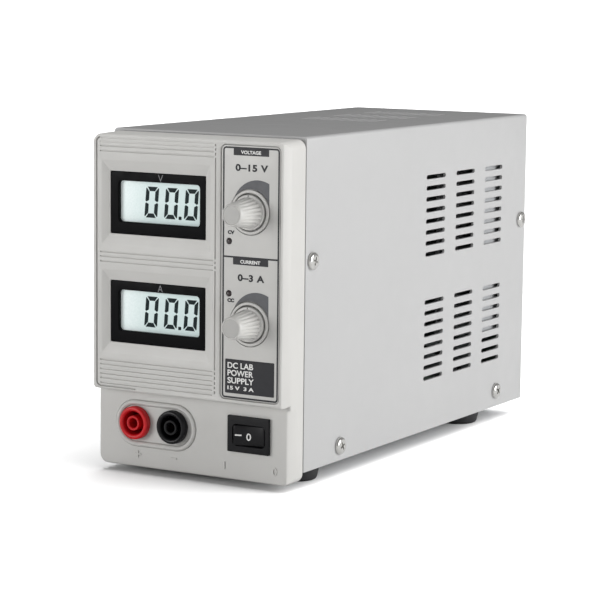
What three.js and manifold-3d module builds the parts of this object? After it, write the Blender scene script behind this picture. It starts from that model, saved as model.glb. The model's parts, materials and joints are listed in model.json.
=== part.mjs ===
// Bench power supply: a folded steel case with a moulded front, two digital meters,
// two rotary controls, a pair of shrouded 4 mm output sockets, a rocker switch on the
// front and a mains inlet on the back.
//
// Millimetres, +Z up. Inside the file x runs to the right seen from the front, y runs
// back from the front face and z runs up from the lower edge of the cover. The last
// group lifts the unit onto its feet and centres it over the origin.

import * as THREE from 'three';
import { mergeGeometries, mergeVertices } from 'three/addons/utils/BufferGeometryUtils.js';
import Module from 'manifold-3d';

const wasm = await Module();
wasm.setup();

// ---------------------------------------------------------------- driving dimensions

const caseHalf = 47.8;          // half the width of the cover and of the bezel
const coverTop = 140;           // height of the cover
const coverFront = 16.5;        // where the cover starts, behind the bezel
const caseBack = 229.8;         // outer face of the back panel
const sheet = 1.2;              // thickness of the folded steel
const bendRadius = 1.5;         // outer radius of the cover's bends
const gap = 0.3;                // clearance between pieces that touch
const past = 1;                 // a cutting tool runs this far past the face it cuts
const footHeight = 7.2;         // ground to the lower edge of the cover

const knobReach = 13;           // how far the knobs stand in front of the face
const inletReach = 2.6;         // how far the mains inlet stands behind the back panel
const drawerReach = 0.6;        // how far the fuse drawer stands out of the inlet

const bezelBottom = -4.1;       // the bezel hangs a little below the cover
const bezelTop = 139;
const bezelBack = 16.2;
const bezelWall = 2.5;
const bezelCorner = 4;
const boss = { x: 42, radius: 3, inset: 7 };   // posts behind the bezel that meet the chassis
const stepHeight = 29.2;        // upper panel above, recessed lower panel below
const lowerFace = 4.9;          // the lower panel lies this far behind the face
const upperFloor = 3.2;         // back of the upper panel's moulding
const lowerFloor = 7.6;         // back of the lower panel's moulding

const meterX = -15.9;           // middle of both meters
const meterSize = { width: 48, height: 26.7 };
const windowSize = { width: 40.3, height: 17.4 };
const meterFace = 1.75;         // black meter frame, behind the face
const glassFace = 3.7;          // display glass
const meterSurround = { side: 3, vertical: 4.4 };
const meterFlange = 5;          // the frame is this much larger behind the bezel
const glassPocket = 3.6;        // and its glass pocket this much larger than the window
const meterWireHole = 6;

const labelBox = { left: 16.8, right: 44.6, bottom: 30.8, top: 136.3, depth: 1, corner: 2 };
const labelFilm = 0.4;          // thickness
const knobX = 30.25;
const ledX = 20.25;
const lamp = { dome: 1.5, flange: 1.9, seat: 3.5, back: 4.7, lead: 0.25, leadOffset: 1.27 };
const channels = [
  { name: 'voltage', meterZ: 109.5, knobZ: 109.2, led: 'cv_led', ledZ: 96.8 },
  { name: 'current', meterZ: 63.0, knobZ: 63.0, led: 'cc_led', ledZ: 75.1 },
];
const collar = { inner: 7.8, outer: 9.5, front: -0.3 };
const knob = { skirt: 7.3, shoulder: 6.5, nose: 5, back: 0.7, skirtFront: -0.9 };
const shaftRadius = 3;
const shaftFront = -10;
const shaftBack = 21;
const bushRadius = 3.9;
const bushFront = 9.5;
const canRadius = 8;            // body of a potentiometer
const controlNut = { corner: 6.6, thick: 2.5 };
const controlBoard = { left: 16, right: 44.5, bottom: 48, top: 124, front: 29, thick: 1.6 };

const socketPitch = 19;         // standard spacing of a pair of 4 mm sockets
const socketX = -28.4;          // red socket
const socketZ = 15.3;
const socketFront = 1.6;
const socketRadius = 7.15;
const socketBody = 6.4;
const socketBack = 15.5;
const socketWell = { radius: 5.6, back: 13.5 };
const socketNut = { corner: 9.2, thick: 3.3 };
const sleeveRadius = 3.6;
const contact = { radius: 2.5, bore: 2, front: 2.4, boreBack: 14, shoulder: 22, stud: 1.4, back: 26 };
const bead = { outer: 10, inner: 8, proud: 0.9, left: -28.9, right: -8.4, z: 14.95 };

const switchBox = { left: 18, right: 38.2, bottom: 8.1, top: 23.45 };
const switchFront = 3.5;
const switchLip = 1.2;          // the flange is this much larger than the body behind it
const switchBack = 20;
const switchWell = { half: 7.5, halfHeight: 4.5, back: 12, z: 15.4 };
const rockerTilt = THREE.MathUtils.degToRad(10);
const rocker = { pivotY: 6, half: 7, valley: -1.9, tip: -2.35, halfHeight: 4.25, depth: 4.5 };

const vent = { length: 18.6, height: 1.7, rowPitch: 5, rows: 8, columnPitch: 30, columns: 3 };
const ventFront = 123.8;
const sideVentTops = [116.1, 59.2];

const screw = { head: 3.8, height: 1.7, shank: 1.5, length: 5, hole: 2 };
const coverScrews = [
  { name: 'front_upper', y: 21.2, z: 88.4 },
  { name: 'front_lower', y: 46.3, z: 6.5 },
  { name: 'back_upper', y: 224.1, z: 89.0 },
  { name: 'back_lower', y: 200.2, z: 7.7 },
];

const trayHalf = 46.2;          // half the width of the chassis, inside the cover
const trayBottom = 0.3;
const trayTop = trayBottom + sheet;
const uprightFront = 16.6;
const uprightTop = 136;
const lips = [
  { front: 34, back: 214, bottom: trayBottom, top: 14 },
  { front: uprightFront, back: 28, bottom: 76, top: 101 },
  { front: 216, back: caseBack, bottom: 76, top: 102 },
];
const footX = 33;
const footYs = { front: 35, back: 190 };
const foot = { bottom: 9, top: 10.5, stem: 2.4, hole: 2.8, recess: 4 };

const inlet = { x: -20, z: 42, width: 31, height: 37, bodyBack: 24 };
const inletBody = { width: 27, height: 33 };
const plugCavity = { width: 24, height: 16.4, chamfer: 5, depth: 18, z: 6.6 };
const drawerSlot = { width: 22, height: 8, z: -9.4, depth: 20 };
const pin = { width: 2, height: 4, spacing: 7, raise: 1.5, earthLift: 4, front: 5, tail: 6 };
const fuse = { radius: 2.6, length: 20 };

const transformer = { x: 2, y: 95, length: 75, height: 62.5, stack: 34, limb: 12.5, coil: 11.4 };
const strap = { width: 30, foot: 11 };
const mainBoard = { left: -41, right: 34, front: 142, back: 206, bottom: 9, thick: 1.6 };
const post = { radius: 2.5, inset: 4 };
const capacitorSize = { x: -26, y: 162, radius: 12.5, height: 40, crimp: 1 };
const rectifier = { left: 4, right: 26, front: 148, back: 153, height: 16 };
const heatSink = { right: 44.5, front: 184, back: 206, bottom: 35, top: 125 };
const heatSinkRib = { left: 12, right: 17, inset: 5 };
const fin = { count: 5, pitch: 10, thick: 2, base: 3 };
const transistor = { left: 20, right: 36, bottom: 70, top: 90, thick: 4.8 };

// ---------------------------------------------------------------- finishes

const finishes = {
  bezelPlastic: { color: 0xc9c8c4, roughness: 0.5, metalness: 0 },
  paintedSteel: { color: 0xc6c6c4, roughness: 0.55, metalness: 0.1 },
  zincSteel: { color: 0xa9abac, roughness: 0.4, metalness: 0.9 },
  nickel: { color: 0xd4cfc5, roughness: 0.25, metalness: 1 },
  rubber: { color: 0x19191b, roughness: 0.9, metalness: 0 },
  labelFilm: { color: 0xb8b7b3, roughness: 0.5, metalness: 0 },
  blackPlastic: { color: 0x1a191c, roughness: 0.4, metalness: 0 },
  displayGlass: { color: 0xc6dcd8, roughness: 0.15, metalness: 0 },
  circuitBoard: { color: 0x2d6b3f, roughness: 0.6, metalness: 0 },
  knobPlastic: { color: 0xc4c3c0, roughness: 0.45, metalness: 0 },
  redPlastic: { color: 0xb01c22, roughness: 0.35, metalness: 0 },
  brass: { color: 0xb8975a, roughness: 0.3, metalness: 1 },
  smokedPlastic: { color: 0x5a2a26, roughness: 0.3, metalness: 0 },
  laminations: { color: 0x55555a, roughness: 0.6, metalness: 0.7 },
  tape: { color: 0xd0b040, roughness: 0.6, metalness: 0 },
  aluminium: { color: 0xb9bbbd, roughness: 0.4, metalness: 1 },
  glassTube: { color: 0xdfe6e8, roughness: 0.1, metalness: 0 },
};

// ---------------------------------------------------------------- shape helpers

function box(x0, x1, y0, y1, z0, z1) {
  const shape = new THREE.BoxGeometry(x1 - x0, y1 - y0, z1 - z0);
  return shape.translate((x0 + x1) / 2, (y0 + y1) / 2, (z0 + z1) / 2);
}

function outline(points) {
  return new THREE.Shape(points.map(([a, b]) => new THREE.Vector2(a, b)));
}

function extrude(shape, depth) {
  return new THREE.ExtrudeGeometry(shape, { depth, bevelEnabled: false, curveSegments: 3 });
}

// A prism whose (x, z) outline is swept back from y0 to y1.
function prismY(shape, y0, y1) {
  return extrude(shape, y1 - y0).rotateX(Math.PI / 2).translate(0, y1, 0);
}

// A prism whose (x, y) outline is swept up from z0 to z1.
function prismZ(shape, z0, z1) {
  return extrude(shape, z1 - z0).translate(0, 0, z0);
}

// A turned piece about the Y axis; the profile holds [radius, y] pairs.
function turnedY(profile, sides = 16) {
  const points = profile.map(([r, y]) => new THREE.Vector2(r, y));
  return new THREE.LatheGeometry(points, sides);
}

// A turned piece about the Z axis; the profile holds [radius, z] pairs.
function turnedZ(profile, sides = 16) {
  return turnedY(profile, sides).rotateX(Math.PI / 2);
}

function roundedRectangle(x0, x1, z0, z1, radius) {
  const shape = new THREE.Shape();
  const quarter = Math.PI / 2;
  shape.absarc(x1 - radius, z0 + radius, radius, -quarter, 0);
  shape.absarc(x1 - radius, z1 - radius, radius, 0, quarter);
  shape.absarc(x0 + radius, z1 - radius, radius, quarter, 2 * quarter);
  shape.absarc(x0 + radius, z0 + radius, radius, 2 * quarter, 3 * quarter);
  return shape;
}

function polygon(sides, radius, x, z) {
  const corner = (i) => 2 * Math.PI * (i + 0.5) / sides;
  const points = Array.from({ length: sides }, (_, i) => [
    x + radius * Math.cos(corner(i)),
    z + radius * Math.sin(corner(i)),
  ]);
  return outline(points);
}

// A round hole or rod along y, drawn as a prism.
function rodY(radius, x, z, y0, y1, sides = 12) {
  return prismY(polygon(sides, radius, x, z), y0, y1);
}

function rodZ(radius, x, y, z0, z1, sides = 12) {
  return prismZ(polygon(sides, radius, x, y), z0, z1);
}

function rodX(radius, y, z, x0, x1, sides = 12) {
  return rodY(radius, 0, 0, x0, x1, sides).rotateZ(-Math.PI / 2).translate(0, y, z);
}

function solid(geometry) {
  const bare = geometry.clone();
  bare.deleteAttribute('normal');
  bare.deleteAttribute('uv');
  const joined = mergeVertices(bare, 1e-4);
  return new wasm.Manifold(new wasm.Mesh({
    numProp: 3,
    vertProperties: new Float32Array(joined.attributes.position.array),
    triVerts: new Uint32Array(joined.index.array),
  }));
}

function shapeOf(manifold) {
  const mesh = manifold.getMesh();
  const geometry = new THREE.BufferGeometry();
  geometry.setAttribute('position', new THREE.BufferAttribute(mesh.vertProperties, 3));
  geometry.setIndex(new THREE.BufferAttribute(mesh.triVerts, 1));
  geometry.computeVertexNormals();
  return geometry;
}

function join(...pieces) {
  return shapeOf(pieces.map(solid).reduce((whole, piece) => whole.add(piece)));
}

function cut(body, ...tools) {
  return shapeOf(tools.map(solid).reduce((rest, tool) => rest.subtract(tool), solid(body)));
}

function tube(points, radius) {
  const path = new THREE.CatmullRomCurve3(points.map((p) => new THREE.Vector3(...p)));
  const steps = Math.round(path.getLength() / (5 * radius));
  const section = polygon(8, radius, 0, 0);
  return new THREE.ExtrudeGeometry(section, { steps, extrudePath: path });
}

const unit = new THREE.Group();

function place(name, geometry, finish) {
  const mesh = new THREE.Mesh(geometry, new THREE.MeshStandardMaterial(finishes[finish]));
  mesh.name = name;
  unit.add(mesh);
}

// ---------------------------------------------------------------- front bezel

// The sloping surround that leads from the face down to a meter frame.
function meterRecess(channel) {
  const ring = (y, side, vertical) => {
    const x = meterSize.width / 2 + side;
    const z = meterSize.height / 2 + vertical;
    return [[-x, y, -z], [x, y, -z], [x, y, z], [-x, y, z]];
  };
  const slope = 0.5 / meterFace;
  const front = ring(-0.5, meterSurround.side * (1 + slope), meterSurround.vertical * (1 + slope));
  const corners = [...front, ...ring(meterFace, 0, 0)].flat();
  const geometry = new THREE.BufferGeometry();
  geometry.setAttribute('position', new THREE.Float32BufferAttribute(corners, 3));
  const faces = [[0, 1, 2, 3], [7, 6, 5, 4], [0, 4, 5, 1], [1, 5, 6, 2], [2, 6, 7, 3], [3, 7, 4, 0]];
  geometry.setIndex(faces.flatMap(([a, b, c, d]) => [a, b, c, a, c, d]));
  return geometry.translate(meterX, 0, channel.meterZ);
}

function meterOpening(channel) {
  const x = meterSize.width / 2;
  const z = meterSize.height / 2;
  return box(meterX - x, meterX + x, 0, upperFloor + past, channel.meterZ - z, channel.meterZ + z);
}

// The raised ring that each knob sits in, moulded with the bezel.
function knobCollar(channel) {
  const { inner, outer, front } = collar;
  const floor = labelBox.depth + 0.5;
  const profile = [[inner, front], [outer - 0.5, front], [outer, 0.2], [outer, floor], [inner, floor]];
  return turnedY([...profile, profile[0]], 20).translate(knobX, 0, channel.knobZ);
}

function stadium(radius) {
  const shape = new THREE.Shape();
  const quarter = Math.PI / 2;
  shape.absarc(bead.right, bead.z, radius, -quarter, quarter);
  shape.absarc(bead.left, bead.z, radius, quarter, 3 * quarter);
  return shape;
}

// The rounded block with its recessed lower panel, before it is hollowed.
function bezelBlock() {
  const half = caseHalf;
  const silhouette = roundedRectangle(-half, half, bezelBottom, bezelTop, bezelCorner);
  const aboveStep = box(-half, half, 0, lowerFace + past, stepHeight, bezelTop);
  const upperPanel = solid(prismY(silhouette, 0, lowerFace + past)).intersect(solid(aboveStep));
  const beadRing = cut(
    prismY(stadium(bead.outer), lowerFace - bead.proud, lowerFace + past),
    prismY(stadium(bead.inner), lowerFace - bead.proud - past, lowerFace),
  );
  return join(prismY(silhouette, lowerFace, bezelBack), shapeOf(upperPanel), beadRing);
}

function bezelHollows() {
  const inside = caseHalf - bezelWall;
  const back = bezelBack + past;
  const ledge = stepHeight + bezelWall;
  return [
    box(-inside, inside, upperFloor, back, ledge, bezelTop - bezelWall),
    box(-inside, inside, lowerFloor, back, bezelBottom + bezelWall, ledge + past),
  ];
}

function bezelBosses() {
  const { x, radius, inset } = boss;
  return [-x, x].flatMap((side) => [
    rodY(radius, side, bezelBottom + inset, lowerFloor - past, bezelBack, 8),
    rodY(radius, side, bezelTop - inset, upperFloor - past, bezelBack, 8),
  ]);
}

function bezelOpenings() {
  const socketHole = (i) => {
    const x = socketX + i * socketPitch;
    return rodY(socketBody + gap, x, socketZ, lowerFace - 2 * past, lowerFloor + past);
  };
  const { left, right, bottom, top } = switchBox;
  const lip = switchLip - gap;
  const y0 = lowerFace - 2 * past;
  return [
    ...channels.flatMap((channel) => [
      meterRecess(channel),
      meterOpening(channel),
      rodY(bushRadius, knobX, channel.knobZ, -past, upperFloor + past),
      rodY(lamp.dome + gap, ledX, channel.ledZ, -past, upperFloor + past, 8),
    ]),
    socketHole(0),
    socketHole(1),
    box(left + lip, right - lip, y0, lowerFloor + past, bottom + lip, top - lip),
  ];
}

function frontBezel() {
  const { left, right, bottom, top, depth, corner } = labelBox;
  const labelRecess = prismY(roundedRectangle(left, right, bottom, top, corner), -past, depth);
  const tray = cut(bezelBlock(), ...bezelHollows(), labelRecess);
  const fitted = join(tray, ...channels.map(knobCollar), ...bezelBosses());
  return cut(fitted, ...bezelOpenings());
}

place('front_bezel', frontBezel(), 'bezelPlastic');

function controlLabel() {
  const { left, right, bottom, top, depth, corner } = labelBox;
  const edge = roundedRectangle(left + gap, right - gap, bottom + gap, top - gap, corner - 0.2);
  const face = depth - 0.1 - labelFilm;
  const holes = channels.flatMap((channel) => [
    rodY(collar.outer + gap, knobX, channel.knobZ, face - past, depth + past, 20),
    rodY(lamp.dome + 2 * gap, ledX, channel.ledZ, face - past, depth + past, 8),
  ]);
  return cut(prismY(edge, face, face + labelFilm), ...holes);
}

place('control_label', controlLabel(), 'labelFilm');

// ---------------------------------------------------------------- meters

function centredBox(x, z, width, height, y0, y1) {
  return box(x - width / 2, x + width / 2, y0, y1, z - height / 2, z + height / 2);
}

function meterFrame(z) {
  const { width, height } = meterSize;
  const pocketWidth = windowSize.width + glassPocket;
  const pocketHeight = windowSize.height + glassPocket;
  const back = upperFloor + 3;
  const front = centredBox(meterX, z, width - 2 * gap, height - 2 * gap, meterFace, upperFloor + past);
  const flange = centredBox(
    meterX, z, width + meterFlange, height + meterFlange, upperFloor + gap, back,
  );
  return cut(
    join(front, flange),
    centredBox(meterX, z, windowSize.width, windowSize.height, meterFace - past, glassFace),
    centredBox(meterX, z, pocketWidth, pocketHeight, glassFace - gap, back + past),
  );
}

function meterGlass(z) {
  const smaller = glassPocket - 2 * gap;
  const { width, height } = windowSize;
  return centredBox(meterX, z, width + smaller, height + smaller, glassFace, glassFace + 2);
}

function meterBoard(z) {
  const front = upperFloor + 3 + gap;
  const width = meterSize.width + meterFlange;
  const height = meterSize.height + meterFlange;
  return centredBox(meterX, z, width, height, front, front + controlBoard.thick);
}

for (const { name, meterZ } of channels) {
  place(`${name}_meter_frame`, meterFrame(meterZ), 'blackPlastic');
  place(`${name}_display`, meterGlass(meterZ), 'displayGlass');
  place(`${name}_meter_board`, meterBoard(meterZ), 'circuitBoard');
}

// ---------------------------------------------------------------- rotary controls

// Tapered knob with a wide skirt and a blind bore for the shaft.
function knobShape() {
  const { skirt, shoulder, nose, back, skirtFront } = knob;
  const bore = shaftRadius + 0.1;
  const boreFront = shaftFront - gap;
  const profile = [
    [0, -knobReach],
    [nose - 0.9, -knobReach],
    [nose, -knobReach + 0.9],
    [shoulder, skirtFront - 0.4],
    [skirt, skirtFront],
    [skirt, back],
    [bore, back],
    [bore, boreFront],
    [0, boreFront],
  ];
  return turnedY(profile, 20);
}

function potentiometer() {
  const bore = shaftRadius + gap;
  const boreBack = shaftBack + 0.5;
  const canFront = uprightFront + sheet + gap;
  const canBack = controlBoard.front - gap;
  const profile = [
    [0, boreBack],
    [bore, boreBack],
    [bore, bushFront],
    [bushRadius, bushFront],
    [bushRadius, canFront],
    [canRadius, canFront],
    [canRadius, canBack],
    [0, canBack],
  ];
  return turnedY(profile, 12);
}

function hexNut(corner, hole, y0, y1) {
  const rim = prismY(polygon(6, corner, 0, 0), y0, y1);
  return cut(rim, rodY(hole, 0, 0, y0 - past, y1 + past));
}

function controlShaft() {
  return rodY(shaftRadius, 0, 0, shaftFront, shaftBack);
}

function potentiometerNut() {
  const back = uprightFront - gap;
  return hexNut(controlNut.corner, bushRadius + gap, back - controlNut.thick, back);
}

for (const { name, knobZ } of channels) {
  place(`${name}_knob`, knobShape().translate(knobX, 0, knobZ), 'knobPlastic');
  place(`${name}_control_shaft`, controlShaft().translate(knobX, 0, knobZ), 'aluminium');
  place(`${name}_potentiometer`, potentiometer().translate(knobX, 0, knobZ), 'zincSteel');
  place(`${name}_potentiometer_nut`, potentiometerNut().translate(knobX, 0, knobZ), 'brass');
}

// A 3 mm indicator lamp with its two leads running back to the control board.
function indicator() {
  const { dome, flange, seat, back, lead, leadOffset } = lamp;
  const profile = [
    [0, -0.9],
    [0.9, -0.6],
    [dome, 0.4],
    [dome, seat],
    [flange, seat],
    [flange, back],
    [0, back],
  ];
  const wire = (x) => box(x - lead, x + lead, seat, controlBoard.front - gap, -lead, lead);
  return join(turnedY(profile, 10), wire(-leadOffset), wire(leadOffset));
}

for (const { led, ledZ } of channels) {
  place(led, indicator().translate(ledX, 0, ledZ), 'smokedPlastic');
}

function controlBoardShape() {
  const { left, right, bottom, top, front, thick } = controlBoard;
  return box(left, right, front, front + thick, bottom, top);
}

place('control_board', controlBoardShape(), 'circuitBoard');

// ---------------------------------------------------------------- output sockets

// Insulated shell with a ring-shaped well around the contact sleeve.
function socketShell() {
  const flangeBack = lowerFace - gap;
  const sleeveBore = contact.radius + gap;
  const { radius: well, back: wellBack } = socketWell;
  const profile = [
    [sleeveBore, socketFront],
    [sleeveRadius, socketFront],
    [sleeveRadius, wellBack],
    [well, wellBack],
    [well, socketFront + 0.6],
    [well + 0.6, socketFront],
    [socketRadius - 0.5, socketFront],
    [socketRadius, socketFront + 0.5],
    [socketRadius, flangeBack],
    [socketBody, flangeBack],
    [socketBody, socketBack],
    [sleeveBore, socketBack],
  ];
  return turnedY([...profile, profile[0]], 20);
}

// Brass socket with a 4 mm bore and a solder stud at the back.
function socketContact() {
  const { radius, bore, front, boreBack, shoulder, stud, back } = contact;
  const profile = [
    [0, boreBack],
    [bore, boreBack],
    [bore, front],
    [radius, front],
    [radius, shoulder],
    [stud, shoulder],
    [stud, back],
    [0, back],
  ];
  return turnedY(profile, 12);
}

function clampNut() {
  const front = lowerFloor + gap;
  return hexNut(socketNut.corner, socketBody + gap, front, front + socketNut.thick);
}

const sockets = [
  { name: 'positive', finish: 'redPlastic' },
  { name: 'negative', finish: 'blackPlastic' },
];
sockets.forEach(({ name, finish }, i) => {
  const x = socketX + i * socketPitch;
  place(`${name}_socket_shell`, socketShell().translate(x, 0, socketZ), finish);
  place(`${name}_socket_contact`, socketContact().translate(x, 0, socketZ), 'brass');
  place(`${name}_socket_nut`, clampNut().translate(x, 0, socketZ), 'blackPlastic');
});

// ---------------------------------------------------------------- power switch

const switchX = (switchBox.left + switchBox.right) / 2;

function switchHousing() {
  const { left, right, bottom, top } = switchBox;
  const flange = box(left, right, switchFront, lowerFace - gap, bottom, top);
  const lip = switchLip;
  const body = box(left + lip, right - lip, switchFront + 1, switchBack, bottom + lip, top - lip);
  const { half, halfHeight, back, z } = switchWell;
  const well = centredBox(switchX, z, 2 * half, 2 * halfHeight, switchFront - past, back);
  return cut(join(flange, body), well);
}

// Rocker with a slightly hollow face; its off end is pressed in at rest.
function rockerShape() {
  const { half, valley, tip, halfHeight, depth } = rocker;
  const section = outline([
    [-half, tip],
    [0, valley],
    [half, tip],
    [half, 0],
    [half / 2, depth],
    [-half / 2, depth],
    [-half, 0],
  ]);
  return prismZ(section, -halfHeight, halfHeight).rotateZ(rockerTilt);
}

place('power_switch_housing', switchHousing(), 'blackPlastic');
place('power_switch_rocker', rockerShape().translate(switchX, rocker.pivotY, switchWell.z), 'blackPlastic');

// ---------------------------------------------------------------- cover

function coverSection() {
  const ring = (half, top, radius) => {
    const quarter = Math.PI / 2;
    const arc = (cx, from) => [0, 1, 2, 3].map((i) => [
      cx + radius * Math.cos(from + i * quarter / 3),
      top - radius + radius * Math.sin(from + i * quarter / 3),
    ]);
    return [[half, 0], ...arc(half - radius, 0), ...arc(radius - half, quarter), [-half, 0]];
  };
  const outer = ring(caseHalf, coverTop, bendRadius);
  const inner = ring(caseHalf - sheet, coverTop - sheet, bendRadius - sheet);
  return outline([...outer, ...inner.reverse()]);
}

function ventTools() {
  const { length, height, rowPitch, rows, columnPitch, columns } = vent;
  const tools = [];
  for (let column = 0; column < columns; column += 1) {
    const y = ventFront + column * columnPitch;
    for (let row = 0; row < rows; row += 1) {
      for (const top of sideVentTops) {
        const z = top - row * rowPitch;
        const reach = caseHalf + past;
        tools.push(box(-reach, reach, y, y + length, z - height / 2, z + height / 2));
      }
      const x = (row - (rows - 1) / 2) * rowPitch;
      const under = coverTop - sheet - past;
      tools.push(box(x - height / 2, x + height / 2, y, y + length, under, coverTop + past));
    }
  }
  return mergeGeometries(tools);
}

function screwHoles() {
  const reach = caseHalf + past;
  return mergeGeometries(coverScrews.map(({ y, z }) => rodX(screw.hole, y, z, -reach, reach, 8)));
}

const coverBlank = prismY(coverSection(), coverFront, caseBack);
place('top_cover', cut(coverBlank, ventTools(), screwHoles()), 'paintedSteel');

// Pan-head screw along +X, its head outside the cover.
function coverScrew() {
  const { head, height, shank, length } = screw;
  const seat = 0.1;
  const profile = [
    [0, -length],
    [shank, -length],
    [shank, seat],
    [head, seat],
    [head, seat + 0.4 * height],
    [head * 0.72, seat + 0.87 * height],
    [head * 0.3, seat + height],
    [0, seat + height],
  ];
  return turnedY(profile, 10).rotateZ(-Math.PI / 2);
}

for (const [side, sign] of [['left', -1], ['right', 1]]) {
  for (const { name, y, z } of coverScrews) {
    const turned = coverScrew().rotateZ(sign < 0 ? Math.PI : 0);
    place(`cover_screw_${side}_${name}`, turned.translate(sign * caseHalf, y, z), 'nickel');
  }
}

// ---------------------------------------------------------------- chassis

const trayBack = caseBack - sheet;

// Lips along the sides of the tray that the cover's screws go into.
function screwLips() {
  return [-1, 1].flatMap((sign) => lips.map(({ front, back, bottom, top }) => {
    const [x0, x1] = [sign * (trayHalf - sheet), sign * trayHalf].sort((a, b) => a - b);
    return box(x0, x1, front, back, bottom, top);
  }));
}

function boardPosts() {
  const { left, right, front, back, bottom } = mainBoard;
  const { radius, inset } = post;
  return [left + inset, right - inset].flatMap((x) => [front + inset, back - inset].map(
    (y) => rodZ(radius, x, y, trayTop - 0.5, bottom - 0.1, 8),
  ));
}

// Holes through the front upright for the controls, lamps, meters, sockets and switch.
function uprightHoles() {
  const [y0, y1] = [uprightFront - past, uprightFront + sheet + past];
  const { left, right, bottom, top } = switchBox;
  const lip = switchLip - 2 * gap;
  return [
    ...channels.flatMap(({ meterZ, knobZ, ledZ }) => [
      rodY(bushRadius + gap, knobX, knobZ, y0, y1),
      rodY(lamp.flange + 0.7, ledX, ledZ, y0, y1, 8),
      rodY(meterWireHole, meterX, meterZ, y0, y1, 8),
    ]),
    ...[0, 1].map((i) => rodY(contact.radius + 1.5, socketX + i * socketPitch, socketZ, y0, y1)),
    box(left + lip, right - lip, y0, y1, bottom + lip, top - lip),
  ];
}

function footHoles() {
  return Object.values(footYs).flatMap((y) => [-footX, footX].map(
    (x) => rodZ(foot.hole, x, y, trayBottom - past, trayTop + past, 10),
  ));
}

function inletHole() {
  const width = inletBody.width + 2 * gap;
  const height = inletBody.height + 2 * gap;
  return centredBox(inlet.x, inlet.z, width, height, trayBack - past, caseBack + past);
}

// Floor, front upright and back panel folded from one sheet.
function chassis() {
  const floor = box(-trayHalf, trayHalf, uprightFront, caseBack, trayBottom, trayTop);
  const front = box(-trayHalf, trayHalf, uprightFront, uprightFront + sheet, trayBottom, uprightTop);
  const backOutline = roundedRectangle(
    -trayHalf, trayHalf, trayBottom, coverTop - sheet - gap, bendRadius,
  );
  const back = prismY(backOutline, trayBack, caseBack);
  const folded = join(floor, front, back, ...screwLips(), ...boardPosts());
  return cut(folded, ...footHoles(), ...uprightHoles(), inletHole(), screwHoles());
}

place('chassis_tray', chassis(), 'zincSteel');

// Push-in rubber foot, hollow underneath, with a stem through the chassis floor.
function footShape() {
  const ground = -footHeight;
  const seat = trayBottom - 0.1;
  const profile = [
    [0, ground + 2.5],
    [foot.recess, ground + 2.5],
    [foot.recess, ground],
    [foot.bottom - 0.8, ground],
    [foot.bottom, ground + 1.2],
    [foot.top, seat],
    [foot.stem, seat],
    [foot.stem, trayTop + 2],
    [0, trayTop + 3.4],
  ];
  return turnedZ(profile, 16);
}

for (const [end, y] of Object.entries(footYs)) {
  place(`foot_${end}_left`, footShape().translate(-footX, y, 0), 'rubber');
  place(`foot_${end}_right`, footShape().translate(footX, y, 0), 'rubber');
}

// ---------------------------------------------------------------- mains inlet

// Outline of the plug cavity: a rectangle with its two lower corners cut off.
function cavityOutline() {
  const { width, height, chamfer, z } = plugCavity;
  const half = width / 2;
  const [bottom, top] = [inlet.z + z - height / 2, inlet.z + z + height / 2];
  return outline([
    [inlet.x - half + chamfer, bottom],
    [inlet.x + half - chamfer, bottom],
    [inlet.x + half, bottom + chamfer],
    [inlet.x + half, top],
    [inlet.x - half, top],
    [inlet.x - half, bottom + chamfer],
  ]);
}

const inletFace = caseBack + inletReach;
const drawerZ = inlet.z + drawerSlot.z;
const pins = [
  { name: 'line', x: -pin.spacing, z: 0 },
  { name: 'neutral', x: pin.spacing, z: 0 },
  { name: 'earth', x: 0, z: -pin.earthLift },
];

function pinBar({ x, z }, clearance, y0, y1) {
  const pinZ = inlet.z + plugCavity.z + pin.raise + z;
  const width = pin.width + 2 * clearance;
  const height = pin.height + 2 * clearance;
  return centredBox(inlet.x + x, pinZ, width, height, y0, y1);
}

function mainsInlet() {
  const { x, z, width, height, bodyBack } = inlet;
  const bodyFront = caseBack - bodyBack;
  const cavityBack = inletFace - plugCavity.depth;
  const slotBack = inletFace - drawerSlot.depth;
  const flange = centredBox(x, z, width, height, caseBack + 0.1, inletFace);
  const body = centredBox(x, z, inletBody.width, inletBody.height, bodyFront, caseBack + 1);
  const cavity = prismY(cavityOutline(), cavityBack, inletFace + past);
  const slot = centredBox(
    x, drawerZ, drawerSlot.width, drawerSlot.height, slotBack, inletFace + past,
  );
  const pinHoles = pins.map((one) => pinBar(one, gap, bodyFront - past, cavityBack + past));
  return cut(join(flange, body), cavity, slot, ...pinHoles);
}

place('mains_inlet', mainsInlet(), 'blackPlastic');
for (const one of pins) {
  const bar = pinBar(one, 0, caseBack - inlet.bodyBack - pin.tail, inletFace - pin.front);
  place(`mains_pin_${one.name}`, bar, 'nickel');
}

const fuseY = inletFace - drawerSlot.depth / 2;

// Pull-out fuse carrier: a grooved tray behind a flat front plate.
function fuseDrawer() {
  const width = drawerSlot.width - 2 * gap;
  const height = drawerSlot.height - 2 * gap;
  const back = inletFace - drawerSlot.depth + 1;
  const body = centredBox(inlet.x, drawerZ, width, height, back, inletFace + drawerReach);
  const inner = fuse.length / 2 + gap;
  const trough = fuse.radius + 2 * gap;
  const floor = drawerZ - fuse.radius - gap;
  const top = drawerZ + height / 2 + past;
  return cut(body, box(inlet.x - inner, inlet.x + inner, fuseY - trough, fuseY + trough, floor, top));
}

function fuseTube() {
  const half = fuse.length / 2;
  return rodX(fuse.radius, fuseY, drawerZ - 0.2, inlet.x - half, inlet.x + half, 10);
}

place('fuse_drawer', fuseDrawer(), 'blackPlastic');
place('fuse', fuseTube(), 'glassTube');

// ---------------------------------------------------------------- transformer

const coreBottom = trayTop + gap;
const coreTop = coreBottom + transformer.height;

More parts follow.
